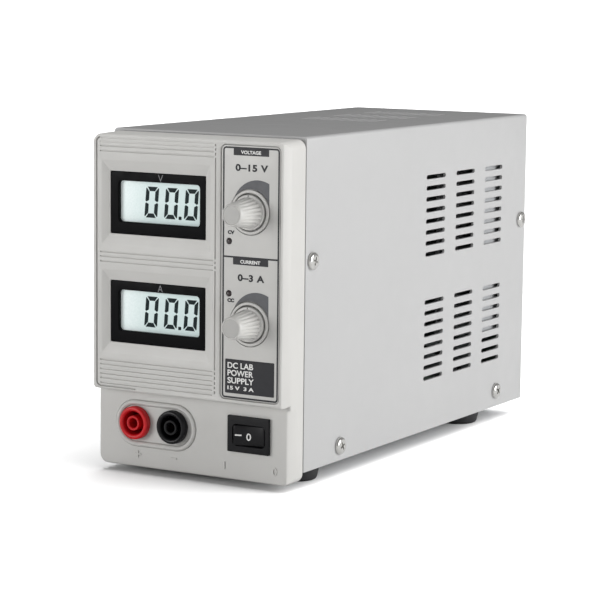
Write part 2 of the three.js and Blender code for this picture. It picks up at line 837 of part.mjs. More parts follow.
function transformerCore() {
  const { x, y, length, stack, limb } = transformer;
  const block = box(x - stack / 2, x + stack / 2, y - length / 2, y + length / 2, coreBottom, coreTop);
  const windows = [-1, 1].map((side) => {
    const y0 = y + (1.5 * side - 0.5) * limb;
    return box(x - stack, x + stack, y0, y0 + limb, coreBottom + limb, coreTop - limb);
  });
  return cut(block, ...windows);
}

function transformerWinding() {
  const { x, y, stack, limb, coil } = transformer;
  const [z0, z1] = [coreBottom + limb + gap, coreTop - limb - gap];
  const [halfX, halfY] = [stack / 2 + gap, limb + gap];
  const [outerX, outerY] = [halfX + coil, halfY + coil];
  const turns = box(x - outerX, x + outerX, y - outerY, y + outerY, z0, z1);
  return cut(turns, box(x - halfX, x + halfX, y - halfY, y + halfY, z0 - past, z1 + past));
}

// Steel strap over the core, with a foot at each end on the chassis floor.
function transformerStrap() {
  const { x, y, length } = transformer;
  const inner = length / 2 + gap;
  const outer = inner + sheet;
  const [x0, x1] = [x - strap.width / 2, x + strap.width / 2];
  const base = trayTop + 0.1;
  const hoop = cut(
    box(x0, x1, y - outer, y + outer, base, coreTop + gap + sheet),
    box(x0 - past, x1 + past, y - inner, y + inner, base - past, coreTop + gap),
  );
  const feet = [-1, 1].map((side) => {
    const [y0, y1] = [y + side * (outer - 0.5), y + side * (outer + strap.foot)].sort((a, b) => a - b);
    return box(x0, x1, y0, y1, base, base + sheet);
  });
  return join(hoop, ...feet);
}

place('transformer_core', transformerCore(), 'laminations');
place('transformer_winding', transformerWinding(), 'tape');
place('transformer_strap', transformerStrap(), 'zincSteel');

// ---------------------------------------------------------------- regulator board

const boardTop = mainBoard.bottom + mainBoard.thick;
place(
  'main_board',
  box(mainBoard.left, mainBoard.right, mainBoard.front, mainBoard.back, mainBoard.bottom, boardTop),
  'circuitBoard',
);
const partsBottom = boardTop + 0.1;

function capacitor() {
  const { x, y, radius, height, crimp } = capacitorSize;
  const side = [[radius, 0], [radius, height - crimp], [radius - crimp, height]];
  return turnedZ([[0, 0], ...side, [0, height]], 16).translate(x, y, partsBottom);
}

function bridgeRectifier() {
  const { left, right, front, back, height } = rectifier;
  return box(left, right, front, back, partsBottom, partsBottom + height);
}

place('filter_capacitor', capacitor(), 'blackPlastic');
place('bridge_rectifier', bridgeRectifier(), 'blackPlastic');

// Upright fins that stand forward of a back plate; a rib holds it off the back panel.
function heatSinkShape() {
  const { right, front, back, bottom, top } = heatSink;
  const plateFront = back - fin.base;
  const left = right - (fin.count - 1) * fin.pitch - fin.thick;
  const comb = [[right, back], [left, back]];
  for (let i = fin.count - 1; i >= 0; i -= 1) {
    const x = right - i * fin.pitch;
    comb.push([x - fin.thick, i === fin.count - 1 ? front : plateFront]);
    if (i !== fin.count - 1) {
      comb.push([x - fin.thick, front]);
    }
    comb.push([x, front]);
    if (i !== 0) {
      comb.push([x, plateFront]);
    }
  }
  const { left: ribLeft, right: ribRight, inset } = heatSinkRib;
  const rib = box(ribLeft, ribRight, back - 1, trayBack - gap, bottom + inset, top - inset);
  return join(prismZ(outline(comb), bottom, top), rib);
}

function passTransistor() {
  const { left, right, bottom, top, thick } = transistor;
  const front = heatSink.back + 0.2;
  return box(left, right, front, front + thick, bottom, top);
}

place('heat_sink', heatSinkShape(), 'aluminium');
place('pass_transistor', passTransistor(), 'blackPlastic');

// ---------------------------------------------------------------- internal wires

const wireLane = -41;           // the output wires run back beside the left wall
const wireSpacing = 3.5;

// From a socket's stud back along the left wall to the front edge of the main board.
function outputWire(index) {
  const stud = socketX + index * socketPitch;
  const lane = wireLane + index * wireSpacing;
  const boardEnd = mainBoard.front + 4;
  return [
    [stud, 26.4, socketZ],
    [stud, 31, socketZ],
    [(stud + lane) / 2, 42, 12],
    [lane, 58, 10],
    [lane, 90, 10],
    [lane, 122, 11],
    [lane + 1, 136, 14],
    [lane + 2, boardEnd, 14],
  ];
}

const mainsWire = [
  [switchX, 20.4, switchWell.z],
  [switchX, 26, switchWell.z],
  [switchX + 4, 32, 14],
  [38, 42, 12],
  [41.5, 60, 12],
  [41.5, 110, 12],
  [41.5, 150, 14],
  [38, 180, 20],
  [20, 196, 24],
  [0, 198, 28],
  [-12, 196, 34],
];
sockets.forEach(({ name, finish }, i) => {
  place(`output_wire_${name}`, tube(outputWire(i), 1.2), finish);
});
place('mains_wire', tube(mainsWire, 1.3), 'blackPlastic');

// ---------------------------------------------------------------- assembly

const depthCentre = (inletFace + drawerReach - knobReach) / 2;
unit.position.set(0, -depthCentre, footHeight);
const group = new THREE.Group();
group.add(unit);

export default group;
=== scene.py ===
"""Bench power supply: the looks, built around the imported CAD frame.

Every shape is drawn in millimetres in the panel frame: x to the right seen from the front,
y back from the front face, z up from the lower edge of the cover. to_row() turns that into
the row frame, in metres, from where the CAD put the bezel and the cover.
"""

import json
import math

import bmesh
import bpy
from mathutils import Matrix, Vector

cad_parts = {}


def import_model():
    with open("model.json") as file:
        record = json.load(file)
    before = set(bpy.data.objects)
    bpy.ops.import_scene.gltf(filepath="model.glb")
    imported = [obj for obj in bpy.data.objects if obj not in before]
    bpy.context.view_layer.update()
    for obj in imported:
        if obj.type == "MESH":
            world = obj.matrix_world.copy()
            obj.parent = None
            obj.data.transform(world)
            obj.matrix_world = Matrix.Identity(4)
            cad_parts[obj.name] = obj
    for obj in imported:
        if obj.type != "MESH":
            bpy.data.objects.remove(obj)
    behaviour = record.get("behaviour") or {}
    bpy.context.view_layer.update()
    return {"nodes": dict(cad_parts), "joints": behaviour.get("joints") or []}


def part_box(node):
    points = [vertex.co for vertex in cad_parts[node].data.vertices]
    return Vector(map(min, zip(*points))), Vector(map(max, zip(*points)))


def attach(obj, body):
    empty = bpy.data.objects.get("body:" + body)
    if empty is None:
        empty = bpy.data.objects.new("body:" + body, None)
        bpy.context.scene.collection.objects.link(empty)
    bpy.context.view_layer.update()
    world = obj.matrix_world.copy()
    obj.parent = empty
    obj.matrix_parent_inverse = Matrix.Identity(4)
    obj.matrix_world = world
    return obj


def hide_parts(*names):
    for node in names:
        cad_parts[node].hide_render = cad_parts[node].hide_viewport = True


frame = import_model()
NODES = frame["nodes"]

MM = 0.001
CASE = "case"
COLLAR_PROUD = 0.3          # the knob collars stand this far in front of the face

FACE_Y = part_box("front_bezel")[0].y + COLLAR_PROUD * MM
COVER_BASE_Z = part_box("top_cover")[0].z
TO_ROW = Matrix.Translation((0, FACE_Y, COVER_BASE_Z)) @ Matrix.Scale(MM, 4)


def cad(node):
    """Lowest and highest corner of a CAD node, in the panel frame."""
    low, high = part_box(node)
    back = TO_ROW.inverted()
    return back @ low, back @ high


def middle(node):
    low, high = cad(node)
    return (low + high) / 2


# ------------------------------------------------------------------ mesh helpers

def mesh_object(name, points, faces):
    mesh = bpy.data.meshes.new(name)
    mesh.from_pydata([tuple(p) for p in points], [], faces)
    obj = bpy.data.objects.new(name, mesh)
    bpy.context.scene.collection.objects.link(obj)
    fix_normals(obj)
    return obj


def fix_normals(obj):
    bm = bmesh.new()
    bm.from_mesh(obj.data)
    bmesh.ops.recalc_face_normals(bm, faces=bm.faces)
    bm.to_mesh(obj.data)
    bm.free()


def loft(name, rings):
    """A closed solid through rings that have the same number of points."""
    count = len(rings[0])
    points = [p for ring in rings for p in ring]
    faces = []
    for k in range(len(rings) - 1):
        a, b = k * count, (k + 1) * count
        for i in range(count):
            j = (i + 1) % count
            faces.append((a + i, a + j, b + j, b + i))
    faces.append(tuple(range(count)))
    faces.append(tuple(range((len(rings) - 1) * count, len(rings) * count)))
    return mesh_object(name, points, faces)


def rounded_corners(x0, x1, z0, z1, radii, inset=0.0, steps=8):
    """(x, z) points round a rectangle; the radii go anticlockwise from the lower right corner."""
    corners = [(x1, z0, -90), (x1, z1, 0), (x0, z1, 90), (x0, z0, 180)]
    points = []
    for (cx, cz, start), radius in zip(corners, radii):
        r = max(radius - inset, 0.02)
        mx = cx - math.copysign(inset + r, cx - (x0 + x1) / 2)
        mz = cz - math.copysign(inset + r, cz - (z0 + z1) / 2)
        for i in range(steps + 1):
            a = math.radians(start + 90 * i / steps)
            points.append((mx + r * math.cos(a), mz + r * math.sin(a)))
    return points


def circle(cx, cz, radius, count=48, start=0.0):
    return [(cx + radius * math.cos(start + 2 * math.pi * i / count),
             cz + radius * math.sin(start + 2 * math.pi * i / count)) for i in range(count)]


def stadium(x0, x1, z, radius, steps=16):
    right = [(x1 + radius * math.cos(a), z + radius * math.sin(a))
             for a in (math.radians(-90 + 180 * i / steps) for i in range(steps + 1))]
    left = [(x0 - radius * math.cos(a), z - radius * math.sin(a))
            for a in (math.radians(-90 + 180 * i / steps) for i in range(steps + 1))]
    return right + left


def at_y(points, y):
    return [(x, y, z) for x, z in points]


def rounding(y_face, radius, steps=5, inwards=1):
    """(y, inset) stations from the side wall round to a face at y_face."""
    stations = []
    for i in range(steps + 1):
        a = math.radians(90 * i / steps)
        stations.append((y_face + inwards * radius * (1 - math.sin(a)), radius * (1 - math.cos(a))))
    return stations


def rounded_block(name, box, radii, y_back, y_front, edge, steps=8):
    """A rounded rectangle swept along y whose front edge is rounded by edge."""
    x0, x1, z0, z1 = box
    stations = [(y_back, 0.0)] + rounding(y_front, edge)
    rings = [at_y(rounded_corners(x0, x1, z0, z1, radii, inset, steps), y) for y, inset in stations]
    return loft(name, rings)


def prism(name, points, y0, y1):
    return loft(name, [at_y(points, y0), at_y(points, y1)])


def box_solid(name, low, high):
    points = [(low[0], low[2]), (high[0], low[2]), (high[0], high[2]), (low[0], high[2])]
    return prism(name, points, low[1], high[1])


def lathe(name, profile, x=0.0, z=0.0, count=64):
    """Turns a closed (radius, y) profile about the y axis through (x, z)."""
    points, rows = [], []
    for r, y in profile:
        if r < 1e-6:
            rows.append([len(points)] * count)
            points.append((x, y, z))
        else:
            rows.append(list(range(len(points), len(points) + count)))
            points += at_y(circle(x, z, r, count), y)
    faces = []
    on_axis = profile[0][0] < 1e-6 and profile[-1][0] < 1e-6
    last = len(rows) - 1 if on_axis else len(rows)
    for k in range(last):
        a, b = rows[k], rows[(k + 1) % len(rows)]
        for i in range(count):
            j = (i + 1) % count
            corners = list(dict.fromkeys((a[i], a[j], b[j], b[i])))
            if len(corners) > 2:
                faces.append(tuple(corners))
    return mesh_object(name, points, faces)


def move(obj, matrix):
    obj.data.transform(matrix)
    if matrix.determinant() < 0:
        obj.data.flip_normals()
    return obj


def shift(obj, x=0.0, y=0.0, z=0.0):
    return move(obj, Matrix.Translation((x, y, z)))


def baked(obj):
    """The mesh as its modifiers leave it, in place of the object's own."""
    graph = bpy.context.evaluated_depsgraph_get()
    mesh = bpy.data.meshes.new_from_object(obj.evaluated_get(graph))
    obj.modifiers.clear()
    old = obj.data
    obj.data = mesh
    bpy.data.meshes.remove(old)
    return obj


def discard(obj):
    mesh = obj.data
    bpy.data.objects.remove(obj)
    bpy.data.meshes.remove(mesh)


def together(objs):
    """One object that holds the meshes of several that don't touch."""
    bm = bmesh.new()
    for obj in objs:
        bm.from_mesh(obj.data)
    bm.to_mesh(objs[0].data)
    bm.free()
    for obj in objs[1:]:
        discard(obj)
    return objs[0]


def combine(obj, tools, operation):
    """A boolean of obj with tools that don't touch each other."""
    tool = together(tools)
    modifier = obj.modifiers.new("boolean", "BOOLEAN")
    modifier.operation = operation
    modifier.solver = "EXACT"
    modifier.object = tool
    baked(obj)
    discard(tool)
    return obj


def cut(obj, *tools):
    return combine(obj, list(tools), "DIFFERENCE")


def fuse(obj, *tools):
    return combine(obj, list(tools), "UNION")


def soften(obj, width, segments=3, angle=40):
    """Rounds every edge sharper than angle."""
    modifier = obj.modifiers.new("bevel", "BEVEL")
    modifier.width = width
    modifier.segments = segments
    modifier.limit_method = "ANGLE"
    modifier.angle_limit = math.radians(angle)
    modifier.harden_normals = False
    return baked(obj)


def flat_mesh(name, curve, y_front, thickness):
    """Turns a flat curve or text into a thin solid that faces the front, its face at y_front."""
    curve.extrude = thickness / 2
    curve.resolution_u = 6
    source = bpy.data.objects.new(name, curve)
    bpy.context.scene.collection.objects.link(source)
    graph = bpy.context.evaluated_depsgraph_get()
    mesh = bpy.data.meshes.new_from_object(source.evaluated_get(graph))
    bpy.data.objects.remove(source)
    bpy.data.curves.remove(curve)
    obj = bpy.data.objects.new(name, mesh)
    bpy.context.scene.collection.objects.link(obj)
    move(obj, Matrix.Rotation(math.pi / 2, 4, "X"))
    return shift(obj, y=y_front + thickness / 2)


def flat_shape(name, loops, y_front, thickness):
    """A thin solid from (x, z) loops; a loop inside another is a hole."""
    curve = bpy.data.curves.new(name, "CURVE")
    curve.dimensions = "2D"
    curve.fill_mode = "BOTH"
    for loop in loops:
        spline = curve.splines.new("POLY")
        spline.points.add(len(loop) - 1)
        for point, (x, z) in zip(spline.points, loop):
            point.co = (x, z, 0, 1)
        spline.use_cyclic_u = True
    return flat_mesh(name, curve, y_front, thickness)


def lettering(name, words, x, z, height, width, y_front, thickness, stroke=0.0, spacing=1.0):
    """Words with their middle at (x, z), scaled to the height and width asked for."""
    curve = bpy.data.curves.new(name, "FONT")
    curve.body = words
    curve.size = height
    curve.offset = stroke
    curve.space_character = spacing
    obj = flat_mesh(name, curve, y_front, thickness)
    low, high = extent(obj)
    scale = Matrix.Diagonal((width / (high.x - low.x), 1, height / (high.z - low.z), 1))
    centre = (low + high) / 2
    to_origin = Matrix.Translation((-centre.x, 0, -centre.z))
    return move(obj, Matrix.Translation((x, 0, z)) @ scale @ to_origin)


def extent(obj):
    points = [v.co for v in obj.data.vertices]
    low = Vector([min(p[i] for p in points) for i in range(3)])
    high = Vector([max(p[i] for p in points) for i in range(3)])
    return low, high


def finish_piece(obj, material, body=CASE, replaces=(), smooth=35):
    """Puts a piece drawn in the panel frame in its place in the row frame."""
    bm = bmesh.new()
    bm.from_mesh(obj.data)
    bmesh.ops.remove_doubles(bm, verts=bm.verts, dist=1e-4)
    bmesh.ops.dissolve_degenerate(bm, edges=bm.edges, dist=1e-4)
    bm.to_mesh(obj.data)
    bm.free()
    move(obj, TO_ROW)
    obj.data.shade_smooth()
    obj.data.set_sharp_from_angle(angle=math.radians(smooth))
    obj.data.materials.clear()
    obj.data.materials.append(material)
    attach(obj, body)
    if replaces:
        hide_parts(*replaces)
    return obj


# ------------------------------------------------------------------ materials

def rgb(r, g, b):
    """Screen colour, 0 to 255, as the linear colour a shader takes."""
    def linear(c):
        c = c / 255
        return c / 12.92 if c <= 0.04045 else ((c + 0.055) / 1.055) ** 2.4
    return (linear(r), linear(g), linear(b), 1.0)


def shade_of(colour, factor):
    return (colour[0] * factor, colour[1] * factor, colour[2] * factor, 1.0)


class Surface:
    """A material being put together: a Principled shader with noise in colour, roughness and relief."""

    def __init__(self, name, colour, roughness, metallic=0.0, specular=0.5):
        self.material = bpy.data.materials.new(name)
        self.material.use_nodes = True
        self.tree = self.material.node_tree
        self.shader = self.tree.nodes["Principled BSDF"]
        self.set("Base Color", colour)
        self.set("Roughness", roughness)
        self.set("Metallic", metallic)
        self.set("Specular IOR Level", specular)
        self.colour = colour
        self.place = self.tree.nodes.new("ShaderNodeTexCoord").outputs["Object"]
        self.relief = None

    def set(self, socket, value):
        self.shader.inputs[socket].default_value = value
        return self

    def node(self, kind, **values):
        node = self.tree.nodes.new(kind)
        for key, value in values.items():
            setattr(node, key, value)
        return node

    def link(self, a, b):
        self.tree.links.new(a, b)

    def noise(self, scale, detail=3.0, stretch=(1, 1, 1), roughness=0.5):
        mapping = self.node("ShaderNodeMapping")
        mapping.inputs["Scale"].default_value = stretch
        self.link(self.place, mapping.inputs["Vector"])
        noise = self.node("ShaderNodeTexNoise")
        noise.inputs["Scale"].default_value = scale
        noise.inputs["Detail"].default_value = detail
        noise.inputs["Roughness"].default_value = roughness
        self.link(mapping.outputs["Vector"], noise.inputs["Vector"])
        return noise.outputs["Fac"]

    def spread(self, value, low, high, source=(0.3, 0.7)):
        """value carried from the source range to low..high."""
        step = self.node("ShaderNodeMapRange")
        step.inputs["From Min"].default_value = source[0]
        step.inputs["From Max"].default_value = source[1]
        step.inputs["To Min"].default_value = low
        step.inputs["To Max"].default_value = high
        self.link(value, step.inputs["Value"])
        return step.outputs["Result"]

    def mottle(self, scale, other, amount=1.0, detail=4.0, stretch=(1, 1, 1)):
        """Base colour that drifts towards another colour."""
        mix = self.node("ShaderNodeMix", data_type="RGBA")
        mix.inputs["A"].default_value = self.colour
        mix.inputs["B"].default_value = other
        self.link(self.spread(self.noise(scale, detail, stretch), 0.0, amount), mix.inputs["Factor"])
        self.link(mix.outputs["Result"], self.shader.inputs["Base Color"])
        return self

    def uneven_gloss(self, scale, low, high, stretch=(1, 1, 1)):
        self.link(self.spread(self.noise(scale, 4.0, stretch), low, high), self.shader.inputs["Roughness"])
        return self

    def grain(self, scale, depth, detail=2.0, stretch=(1, 1, 1)):
        """Relief from noise; depth is in metres."""
        bump = self.node("ShaderNodeBump")
        bump.inputs["Strength"].default_value = 1.0
        bump.inputs["Distance"].default_value = depth
        self.link(self.noise(scale, detail, stretch), bump.inputs["Height"])
        if self.relief:
            self.link(self.relief, bump.inputs["Normal"])
        self.relief = bump.outputs["Normal"]
        self.link(self.relief, self.shader.inputs["Normal"])
        return self


def bezel_plastic():
    """Light warm grey moulding with a fine spark-eroded texture."""
    colour = rgb(190, 189, 186)
    made = Surface("bezel_plastic", colour, 0.5)
    made.mottle(45, shade_of(colour, 0.955), 0.8)
    made.uneven_gloss(160, 0.44, 0.56)
    return made.grain(2600, 0.000012).grain(420, 0.00001).material


def powder_coat():
    """Light grey powder coat with a faint orange peel."""
    colour = rgb(174, 174, 174)
    made = Surface("powder_coat", colour, 0.5)
    made.mottle(14, shade_of(colour, 0.97), 0.8)
    made.uneven_gloss(90, 0.42, 0.54)
    return made.grain(900, 0.000022).grain(2600, 0.000008).material


def label_film():
    colour = rgb(186, 185, 182)
    made = Surface("label_film", colour, 0.38)
    made.mottle(60, shade_of(colour, 0.97), 0.7)
    made.uneven_gloss(120, 0.33, 0.45)
    return made.grain(1800, 0.000006).material


def ink(name, colour, specular=0.25):
    made = Surface(name, colour, 0.42, specular=specular)
    made.mottle(400, shade_of(colour, 0.85), 0.6)
    made.uneven_gloss(300, 0.36, 0.5)
    return made.grain(3000, 0.000004).material


def black_moulding(name, value=30, roughness=0.32, texture=0.000006, specular=0.3):
    colour = rgb(value, value, value + 2)
    made = Surface(name, colour, roughness, specular=specular)
    made.mottle(70, shade_of(colour, 0.75), 0.8)
    made.uneven_gloss(200, roughness - 0.06, roughness + 0.08)
    return made.grain(2200, texture).material


def red_moulding():
    colour = rgb(196, 20, 28)
    made = Surface("red_moulding", colour, 0.34, specular=0.3)
    made.mottle(90, shade_of(colour, 0.86), 0.8)
    made.uneven_gloss(240, 0.28, 0.42)
    made.set("Subsurface Weight", 0.05)
    made.set("Subsurface Radius", (0.002, 0.0006, 0.0004))
    made.set("Subsurface Scale", 0.5)
    return made.grain(1600, 0.000005).material


def knob_plastic(name, value):
    colour = rgb(value, value - 1, value - 4)
    made = Surface(name, colour, 0.38)
    made.mottle(120, shade_of(colour, 0.95), 0.7)
    made.uneven_gloss(260, 0.32, 0.46)
    made.set("Subsurface Weight", 0.1)
    made.set("Subsurface Radius", (0.0016, 0.0015, 0.0014))
    made.set("Subsurface Scale", 0.5)
    return made.grain(2400, 0.000005).material


def rubber():
    colour = rgb(30, 30, 32)
    made = Surface("rubber", colour, 0.75)
    made.mottle(90, rgb(46, 46, 48), 0.7)
    made.uneven_gloss(200, 0.65, 0.85)
    return made.grain(1400, 0.00003).material


def nickel():
    colour = rgb(214, 213, 210)
    made = Surface("nickel", colour, 0.16, metallic=1.0)
    made.mottle(600, shade_of(colour, 0.8), 0.7)
    made.uneven_gloss(500, 0.1, 0.22)
    return made.grain(1500, 0.000004).material


def zinc_plate():
    """Zinc-plated folded sheet, faintly streaked along its rolling direction."""
    colour = rgb(190, 194, 198)
    made = Surface("zinc_plate", colour, 0.34, metallic=1.0)
    made.mottle(60, shade_of(colour, 0.8), 0.8, stretch=(1, 0.2, 1))
    made.uneven_gloss(140, 0.28, 0.46, stretch=(1, 0.15, 1))
    return made.grain(700, 0.00001, stretch=(1, 0.1, 1)).material


def brass():
    colour = rgb(212, 176, 110)
    made = Surface("brass", colour, 0.25, metallic=1.0)
    made.mottle(500, shade_of(colour, 0.8), 0.8)
    made.uneven_gloss(400, 0.18, 0.36)
    return made.grain(1200, 0.000005).material


def aluminium():
    colour = rgb(196, 198, 200)
    made = Surface("aluminium", colour, 0.5, metallic=0.25)
    made.mottle(120, shade_of(colour, 0.88), 0.8, stretch=(1, 1, 0.1))
    made.uneven_gloss(300, 0.36, 0.55, stretch=(1, 1, 0.05))
    return made.grain(1500, 0.000006, stretch=(1, 1, 0.05)).material


def circuit_board():
    """Green solder mask with the faint relief of the tracks under it."""
    colour = rgb(28, 92, 52)
    made = Surface("circuit_board", colour, 0.3)
    made.mottle(260, rgb(44, 122, 70), 0.9, stretch=(1, 1, 0.3))
    made.uneven_gloss(300, 0.25, 0.4)
    return made.grain(500, 0.00003, stretch=(1, 1, 0.2)).material


def winding():
    """Enamelled copper wire in even turns."""
    colour = rgb(176, 104, 52)
    made = Surface("winding", colour, 0.3, metallic=0.9)
    made.mottle(300, shade_of(colour, 0.65), 0.9, stretch=(0.1, 0.1, 3))
    made.uneven_gloss(300, 0.22, 0.42)
    return made.grain(1800, 0.00012, stretch=(0.05, 0.05, 1)).material


def laminations():
    colour = rgb(74, 74, 78)
    made = Surface("laminations", colour, 0.45, metallic=0.7)
    made.mottle(900, shade_of(colour, 0.6), 0.9, stretch=(4, 0.05, 0.05))
    made.uneven_gloss(200, 0.4, 0.6)
    return made.grain(2000, 0.00006, stretch=(1, 0.03, 0.03)).material


def fuse_glass():
    made = Surface("fuse_glass", rgb(226, 234, 234), 0.12)
    made.mottle(500, rgb(200, 212, 212), 0.8)
    made.uneven_gloss(300, 0.08, 0.2)
    return made.grain(1500, 0.000004).material


def indicator_lens():
    colour = rgb(58, 50, 50)
    made = Surface("indicator_lens", colour, 0.2)
    made.mottle(500, shade_of(colour, 0.7), 0.8)
    made.uneven_gloss(400, 0.14, 0.3)
    return made.grain(1800, 0.000004).material


def display_face_painted_light(name, node):
    """Pale cyan reflective liquid crystal with painted light: a painted sheen makes it lighter towards its
    left end, and it has a faint painted glow, though it is no lamp.
    """
    low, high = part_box(node)
    colour = rgb(204, 220, 219)
    made = Surface(name, colour, 0.3)
    split = made.node("ShaderNodeSeparateXYZ")
    made.link(made.place, split.inputs["Vector"])
    # painted sheen: the left end of the face is painted lighter, standing in for light that falls there
    share = made.spread(split.outputs["X"], 1.0, 0.0, (low.x, low.x + 0.4 * (high.x - low.x)))
    speckle = made.spread(made.noise(1500), -0.12, 0.12)
    total = made.node("ShaderNodeMath", operation="ADD")
    made.link(share, total.inputs[0])
    made.link(speckle, total.inputs[1])
    mix = made.node("ShaderNodeMix", data_type="RGBA")
    mix.inputs["A"].default_value = colour
    # the lighter colour of the painted sheen
    mix.inputs["B"].default_value = rgb(238, 247, 246)
    made.link(total.outputs[0], mix.inputs["Factor"])
    made.link(mix.outputs["Result"], made.shader.inputs["Base Color"])
    made.set("Specular IOR Level", 0.2)
    # painted glow: the liquid crystal is no lamp, yet it gives off a little of its own colour
    made.link(mix.outputs["Result"], made.shader.inputs["Emission Color"])
    made.set("Emission Strength", 0.08)
    return made.grain(2500, 0.000003).material


BEZEL = bezel_plastic()
COAT = powder_coat()
LABEL = label_film()
DARK_INK = ink("dark_ink", rgb(36, 36, 40))
GREY_INK = ink("grey_ink", rgb(92, 93, 96))
GREY_INK_LIGHT = ink("light_grey_ink", rgb(122, 122, 124))
WHITE_INK = ink("white_ink", rgb(226, 226, 224))
LCD_INK = ink("lcd_ink", rgb(20, 34, 36), 0.1)
METER_BLACK = black_moulding("meter_black", 7, 0.4, specular=0.05)
BLACK = black_moulding("black_insulator", 20, 0.3, specular=0.2)
SWITCH_BLACK = black_moulding("switch_black", 22, 0.42, 0.00001, 0.15)
ROCKER_BLACK = black_moulding("rocker_black", 20, 0.34, 0.000012, 0.2)
INLET_BLACK = black_moulding("inlet_black", 26, 0.45, 0.000012)
COMPONENT_BLACK = black_moulding("component_black", 34, 0.5, 0.00001)
RED = red_moulding()
KNOB = knob_plastic("knob_plastic", 190)
# painted shade: a darker copy of the knob plastic, so the knob's front face reads as shaded
KNOB_CAP_PAINTED_SHADE = knob_plastic("knob_cap_painted_shade", 168)
RUBBER = rubber()
NICKEL = nickel()
ZINC = zinc_plate()
BRASS = brass()
ALUMINIUM = aluminium()
BOARD = circuit_board()
WINDING = winding()
CORE = laminations()
FUSE_GLASS = fuse_glass()
LENS = indicator_lens()


# ------------------------------------------------------------------ front bezel

BEZEL_LOW, BEZEL_HIGH = cad("front_bezel")
HALF = BEZEL_HIGH.x
BEZEL_BACK = BEZEL_HIGH.y - 1.1     # leaves the seam in front of the cover
BEZEL_BOTTOM = BEZEL_LOW.z
TOP_FRONT, TOP_BACK = 138.4, 138.85  # the top rises towards the cover
SEAM_DEPTH = 0.9
CORNER = 4.0
STEP_Z = 29.2
LOWER_Y = 4.9
WALL, FACE_WALL = 2.5, 3.2
EDGE = 0.8
CHANNELS = ("voltage", "current")
METER_DEPTH = cad("voltage_meter_frame")[0].y
METER_HALF = (24.0, 13.35)  # half the width and height of a meter's opening
METER_SURROUND = (3.1, 4.4)
CHANNEL_DEPTH = 1.7         # the recess is this deep all round the label
LAMP = 1.3                  # radius of an indicator's dome
KNOB_X = middle("voltage_knob").x
LED_X = middle("cv_led").x
SOCKETS = ("positive", "negative")
SOCKET_Z = middle("positive_socket_shell").z
COLLAR_RADII = (7.95, 9.2)
BEAD = {"outer": 10.0, "inner": 7.9, "proud": 0.95, "quirk": 0.3}
MARK = {"z": 1.55, "arm": 1.55, "stroke": 0.34, "raise": 0.42}
RIB_LEFT, RIB_RIGHT = -44.0, 13.4
RIB_TOP = 136.8
RIB_GROUPS = ((131.2, 133.3, 135.1), (84.3, 86.4, 88.3), (31.9, 34.0, 35.9, 37.9, 40.0, 41.9))
RIB_WIDTH, RIB_DEPTH = 0.62, 0.5
RIBS_FAINT_ABOVE, FAINT_RIB = 134, 0.2
RIB_END = RIB_RIGHT - 0.6   # the fine grooves stop short of the upright one
RIM_X = 2.0                 # the groove inside the rim on the left lies this far from the edge
RIM_TURN = 1.8
RIM_WIDTH, RIM_DEPTH = 0.75, 0.95


def led_of(channel):
    return "cv_led" if channel == "voltage" else "cc_led"


def meter_sizes(channel):
    """Middle and half sizes of a meter's opening in the bezel."""
    place = middle(channel + "_meter_frame")
    return place.x, place.z, *METER_HALF


def meter_recess(channel):
    """The sloping surround of a meter, with its slightly rounded outer edge."""
    x, z, half_w, half_h = meter_sizes(channel)
    side, above = METER_SURROUND
    stations = ((-0.8, 1.5), (0.0, 1.06), (0.12, 0.97), (METER_DEPTH, 0.0), (METER_DEPTH + 3, 0.0))
    rings = []
    for y, share in stations:
        w, h = half_w + side * share, half_h + above * share
        rings.append(at_y(rounded_corners(x - w, x + w, z - h, z + h, [0.4] * 4, 0, 2), y))
    return loft("recess", rings)


def groove(points, width, depth):
    """A cutter for a steep narrow groove along a row of (x, z) points in the face."""
    half = width / 2
    left = [(-1.3 * half, -0.4), (-half, 0.1), (-0.7 * half, depth)]
    section = left + [(-side, y) for side, y in reversed(left)]
    rings = []
    for i, (x, z) in enumerate(points):
        ahead = Vector(points[min(i + 1, len(points) - 1)])
        behind = Vector(points[max(i - 1, 0)])
        along = (ahead - behind).normalized()
        rings.append([(x - along.y * side, y, z + along.x * side) for side, y in section])
    return loft("groove", rings)


def rib_grooves():
    """The fine horizontal grooves between the meters and the upright groove beside them."""
    lines = [z for group in RIB_GROUPS for z in group]
    tools = []
    for z in lines:
        depth = FAINT_RIB if z > RIBS_FAINT_ABOVE else RIB_DEPTH
        tools.append(groove([(RIB_LEFT, z), (RIB_END, z)], RIB_WIDTH, depth))
    lines.append(RIB_TOP)
    lines.sort()
    upright_x = RIB_RIGHT + 0.4
    clear = 0.45
    for low, high in zip(lines[:-1], lines[1:]):
        tools.append(groove([(upright_x, low + clear), (upright_x, high - clear)], RIB_WIDTH, RIB_DEPTH))
    return tools


def rim_groove():
    """Sets off the rounded rim on the left and runs on as the topmost of the fine grooves."""
    x = RIM_X - HALF
    low, high = STEP_Z + 1.4, RIB_TOP
    quarter = [math.radians(90 * i / 8) for i in range(9)]
    path = [(x + 20, low)]
    path += [(x + RIM_TURN * (1 - math.sin(a)), low + RIM_TURN * (1 - math.cos(a))) for a in quarter]
    path += [(x + RIM_TURN * (1 - math.cos(a)), high - RIM_TURN * (1 - math.sin(a))) for a in quarter]
    topmost = [(x + RIM_TURN + 0.5, high), (RIB_END, high)]
    return [groove(path, RIM_WIDTH, RIM_DEPTH), groove(topmost, RIB_WIDTH, FAINT_RIB)]


def label_box(grow=0.0):
    """The label's outline; it is a little wider than its CAD body."""
    low, high = cad("control_label")
    left, right = 0.6, 0.25
    return low.x - left - grow, high.x + right + grow, low.z - grow, high.z + right + grow


def label_recess():
    box = label_box(grow=0.35)
    radii = [2.4] * 4
    stations = ((CHANNEL_DEPTH, 0.0), (0.4, 0.0), (0.12, -0.15), (0.0, -0.4), (-1.0, -0.6))
    rings = [at_y(rounded_corners(*box, radii, inset, 6), y) for y, inset in stations]
    return loft("label_recess", rings)


